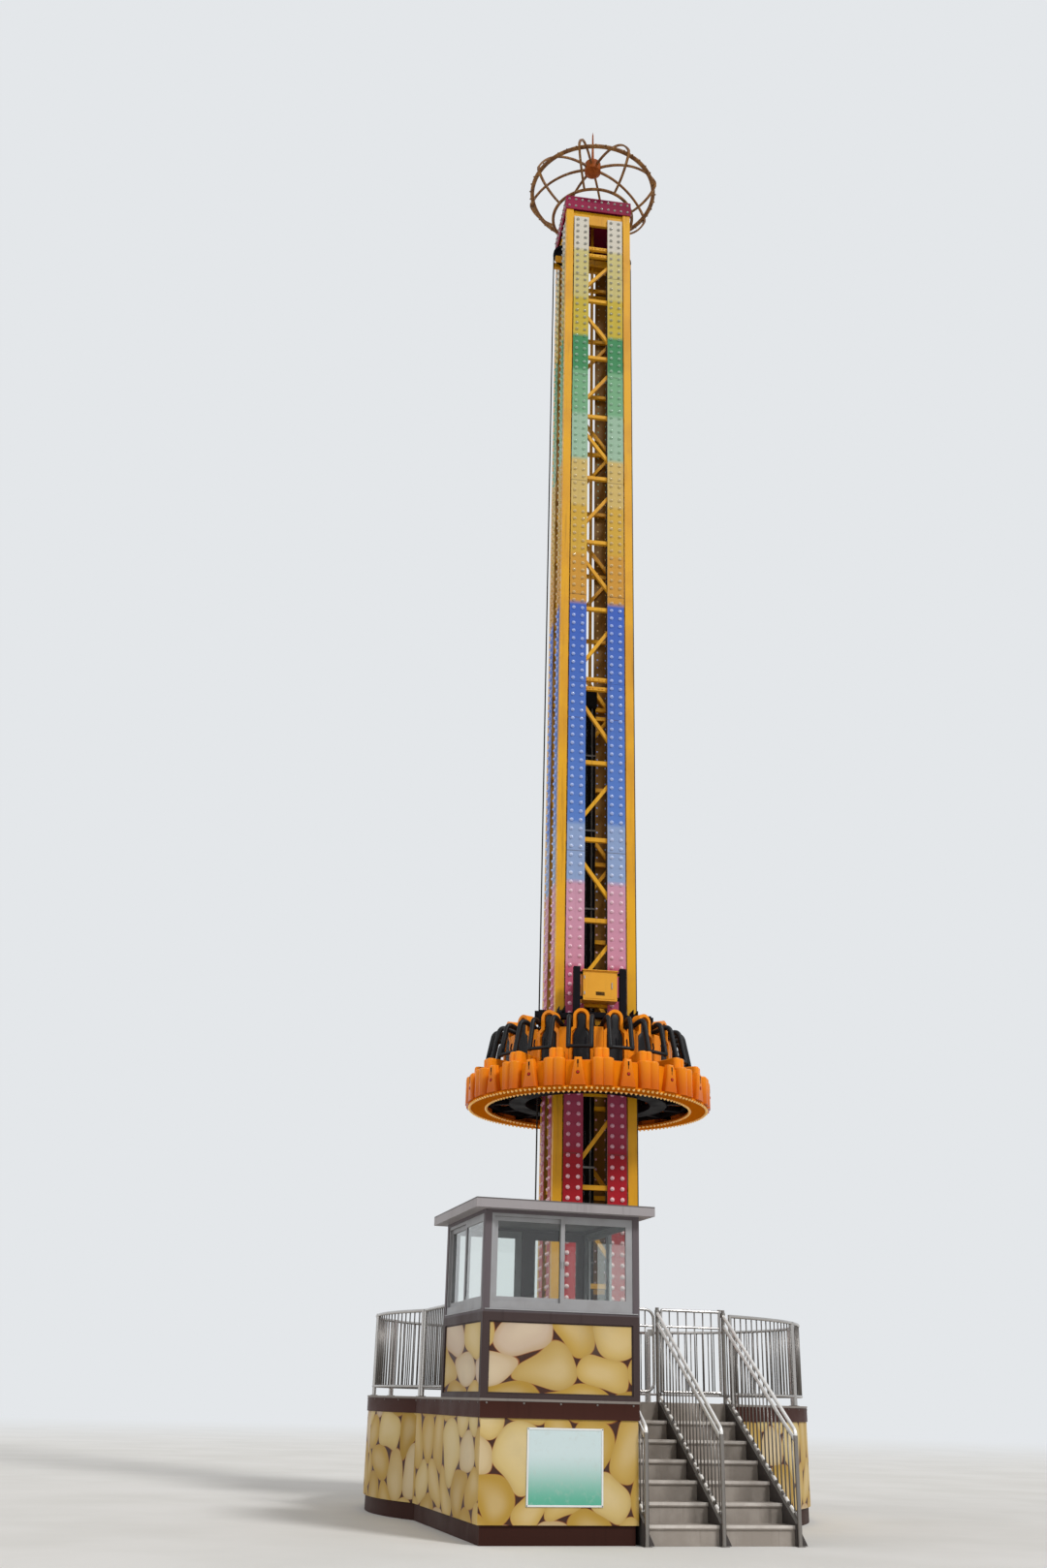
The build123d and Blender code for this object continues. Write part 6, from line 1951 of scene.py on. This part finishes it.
@dataclass
class Pads(Assembly):
    """Seat cushions and back pads: vinyl over foam, swollen by a short cloth simulation."""

    cushion: Point = (0.34, 0.31, 0.048)
    cushion_place: Pair = (1.514, 6.064)
    back_face: float = 1.29
    back_middle: float = 6.5
    frames: int = 20

    def build(self) -> None:
        """Simulates one cushion and one back pad, and sets them in every seat."""
        for name, form, cap, voxel in (
            ("seat_cushions", self.cushion_form(), 0.012, 0.012),
            ("back_pads", self.back_form(), 0.010, 0.013),
        ):
            points, faces = self.swollen(name, form, cap, voxel)
            whole = Form(points, faces).turned_copies(SEATS)
            names = (name, Paint.VINYL, "pad_vinyl", "seat_pads")
            piece = self.shop.form(whole, *names, body=SEAT_RING, smooth=60)

    def cushion_form(self) -> Form:
        """A cushion a little smaller than its pocket, with rounded corners in plan.

        Returns:
            The form at the first seat.
        """
        form = Form()
        middle, height = self.cushion_place
        long, wide, thick = (size / 2 for size in self.cushion)
        rings = []
        for up, share in ((-thick, 0.94), (-thick * 0.3, 0.97), (thick * 0.45, 0.95), (thick * 0.8, 0.84)):
            ring = []
            for c, s in circle(48):
                reach = share * (abs(c) ** 6 + abs(s) ** 6) ** (-1 / 6)
                ring.append((middle + long * reach * c, wide * reach * s, height + up))
            rings.append(ring)
        form.loft(rings)
        return form

    def back_form(self) -> Form:
        """A pad in the outline of the seat back: square base, shoulders, round headrest.

        Returns:
            The form at the first seat.
        """
        form = Form()
        half, neck, arch, base, middle = 0.141, 0.078, 6.835, 6.083, self.back_middle
        side = [
            (half, 6.1), (half + 0.001, 6.25), (half, 6.4), (half, 6.55), (half - 0.012, 6.6),
            (neck + 0.02, 6.645), (neck + 0.004, 6.67), (neck, 6.75), (neck, arch),
        ]
        angles = sweep(0.0, math.pi / 2)[1:]
        side += [(neck * math.cos(angle), arch + neck * math.sin(angle)) for angle in angles]
        outline = side + [(-y, z) for y, z in reversed(side[:-1])]
        outline += [(-half + 0.03, base + 0.012), (half - 0.03, base + 0.012)]
        rings = []
        for out, share in ((0.002, 0.97), (0.012, 0.985), (0.024, 0.965), (0.030, 0.90)):
            # Along its length the outline draws in less than across it
            shrink = 1 - (1 - share) * 0.35
            place = self.back_face + out
            rings.append([(place, y * share, middle + (z - middle) * shrink) for y, z in outline])
        form.loft(rings)
        return form

    def swollen(
        self, name: str, form: Form, cap: float, voxel: float
    ) -> tuple[list[Point], list[tuple[int, ...]]]:
        """Remeshes a form and blows it up gently by a cloth simulation.

        Args:
            name: Name of the piece.
            form: Starting shape, smaller than the finished pad.
            cap: Farthest that a point may move, in metres.
            voxel: Size of the remesh, in metres.

        Returns:
            Points and faces of the swollen shape.
        """
        start = form.piece(f"{name}_start", bpy.data.materials[0])
        remesh = start.modifiers.new("even_faces", "REMESH")
        remesh.mode = "VOXEL"
        remesh.voxel_size = voxel
        graph = bpy.context.evaluated_depsgraph_get()
        mesh = bpy.data.meshes.new_from_object(start.evaluated_get(graph))
        bpy.data.objects.remove(start)
        rest = [vertex.co.copy() for vertex in mesh.vertices]
        faces = [tuple(polygon.vertices) for polygon in mesh.polygons]
        for i, after in enumerate(self.simulated(name, mesh)):
            shift = after - rest[i]
            if shift.length > cap:
                shift *= cap / shift.length
            rest[i] = rest[i] + shift
        return [tuple(point) for point in rest], faces

    def simulated(self, name: str, mesh: bpy.types.Mesh) -> list[Vector]:
        """Blows up a mesh as cloth under pressure, for a fixed number of frames.

        Args:
            name: Name of the piece.
            mesh: Mesh of even faces.

        Returns:
            Where the mesh's points end.
        """
        scene = bpy.context.scene
        pad = bpy.data.objects.new(f"{name}_swelling", mesh)
        scene.collection.objects.link(pad)
        cloth = pad.modifiers.new("swelling", "CLOTH")
        cloth.settings.use_pressure = True
        cloth.settings.uniform_pressure_force = 4.0
        cloth.settings.quality = 6
        cloth.settings.mass = 0.3
        cloth.settings.effector_weights.gravity = 0.0
        cloth.point_cache.frame_start = 1
        cloth.point_cache.frame_end = self.frames
        for frame in range(1, self.frames + 1):
            scene.frame_set(frame)
        graph = bpy.context.evaluated_depsgraph_get()
        moved = [vertex.co.copy() for vertex in pad.evaluated_get(graph).data.vertices]
        pad.modifiers.clear()
        bpy.data.objects.remove(pad)
        scene.frame_set(1)
        return moved


@dataclass
class Studio:
    """Pale floor, soft light and the camera at the photograph's place."""

    eye: Point = (-7.078, -21.534, 1.451)
    heading: Pair = (0.26417, 0.96448)
    pitch: float = 23.37
    roll: float = 1.46
    lens: float = 32.71
    floor_radius: float = 400.0
    floor_drop: float = 0.001
    lamp_distance: float = 40.0
    backdrop: str = "#E4E7EA"

    def build(self) -> None:
        """Makes the floor, the lamps, the world and the camera."""
        self.floor()
        self.lights()
        self.world()
        self.camera()
        bpy.context.scene.view_settings.view_transform = "Standard"

    def floor(self) -> None:
        """A wide pale disc that fades into the backdrop."""
        shader = Shader("pale_floor")
        away = shader.vector("LENGTH", {0: shader.place}).outputs["Value"]
        shade = shader.ramp(shader.noise(2.5, 4.0), 0.3, 0.7)
        shader.finish(shader.mix(shade, "#D6D4CF", "#DEDCD8"), 0.85)
        glow = shader.node("ShaderNodeEmission", {"Color": linear(self.backdrop), "Strength": 1.0})
        blend = shader.node(
            "ShaderNodeMixShader", None,
            {0: shader.ramp(away, 14.0, 70.0), 1: shader.surface.outputs[0], 2: glow.outputs[0]},
        )
        output = next(n for n in shader.tree.nodes if n.type == "OUTPUT_MATERIAL")
        shader.tree.links.new(blend.outputs[0], output.inputs["Surface"])
        form = Form([(self.floor_radius * c, self.floor_radius * s, -self.floor_drop) for c, s in circle(96)])
        form.faces = [tuple(range(len(form.points)))]
        form.piece("floor", shader.material)

    def lights(self) -> None:
        """A soft key from the front right, and a weak one from the left."""
        right = Vector((self.heading[1], -self.heading[0], 0))
        back = -Vector((*self.heading, 0))
        for name, way, power, spread in (
            ("key", right * 0.55 + back * 0.6 + UP * 0.75, 1.8, 12.0),
            ("fill", right * -0.8 + back * 0.3 + UP * 0.35, 0.45, 40.0),
        ):
            light = bpy.data.lights.new(name, "SUN")
            light.energy = power
            light.angle = math.radians(spread)
            lamp = bpy.data.objects.new(name, light)
            lamp.rotation_mode = "QUATERNION"
            lamp.rotation_quaternion = way.to_track_quat("Z", "Y")
            lamp.location = way.normalized() * self.lamp_distance
            bpy.context.scene.collection.objects.link(lamp)

    def world(self) -> None:
        """Even light from the sky, seen as a pale backdrop by the camera, metal and glass."""
        world = bpy.data.worlds.new("studio")
        bpy.context.scene.world = world
        world.use_nodes = True
        tree = world.node_tree
        tree.nodes.clear()
        path = add_node(tree, "ShaderNodeLightPath").outputs
        seen = path["Is Camera Ray"]
        for ray in ("Is Glossy Ray", "Is Transmission Ray"):
            either = add_node(tree, "ShaderNodeMath", {"operation": "MAXIMUM"}, {0: seen, 1: path[ray]})
            seen = either.outputs[0]
        light = add_node(tree, "ShaderNodeBackground", {"Color": (1, 1, 1, 1), "Strength": 0.5})
        shown = add_node(tree, "ShaderNodeBackground", {"Color": linear(self.backdrop), "Strength": 1.0})
        mix = add_node(tree, "ShaderNodeMixShader", None, {0: seen, 1: light.outputs[0], 2: shown.outputs[0]})
        add_node(tree, "ShaderNodeOutputWorld", None, {0: mix.outputs[0]})

    def camera(self) -> None:
        """A hand-held camera at eye height, tilted up and slightly rolled."""
        camera = bpy.data.cameras.new("photo_camera")
        camera.lens = self.lens
        camera.sensor_width = 36.0
        camera.sensor_fit = "AUTO"
        camera.clip_end = 1000.0
        holder = bpy.data.objects.new("photo_camera", camera)
        tilt = math.radians(self.pitch)
        way = Vector((*(part * math.cos(tilt) for part in self.heading), math.sin(tilt)))
        holder.rotation_mode = "QUATERNION"
        turn = way.to_track_quat("-Z", "Y")
        holder.rotation_quaternion = turn @ Quaternion((0, 0, 1), math.radians(self.roll))
        holder.location = self.eye
        bpy.context.scene.collection.objects.link(holder)
        bpy.context.scene.camera = holder


def main() -> None:
    """Builds every sub-assembly in order."""
    logging.basicConfig(level=logging.INFO, format="%(message)s")
    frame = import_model()
    Studio().build()
    shop = Workshop(frame)
    parts = [kind(shop) for kind in (Mast, Crown, Platform, Stairs, Fence)]
    parts += [Gate(shop, "gate_left", -0.852, -0.043, 0.11), Gate(shop, "gate_right", 0.882, 0.063, 0.03)]
    parts += [kind(shop) for kind in (Booth, Gondola, Restraint, Pads)]
    for part in parts:
        LOG.info("building %s", type(part).__name__)
        part.build()


if __name__ == "__main__":
    main()
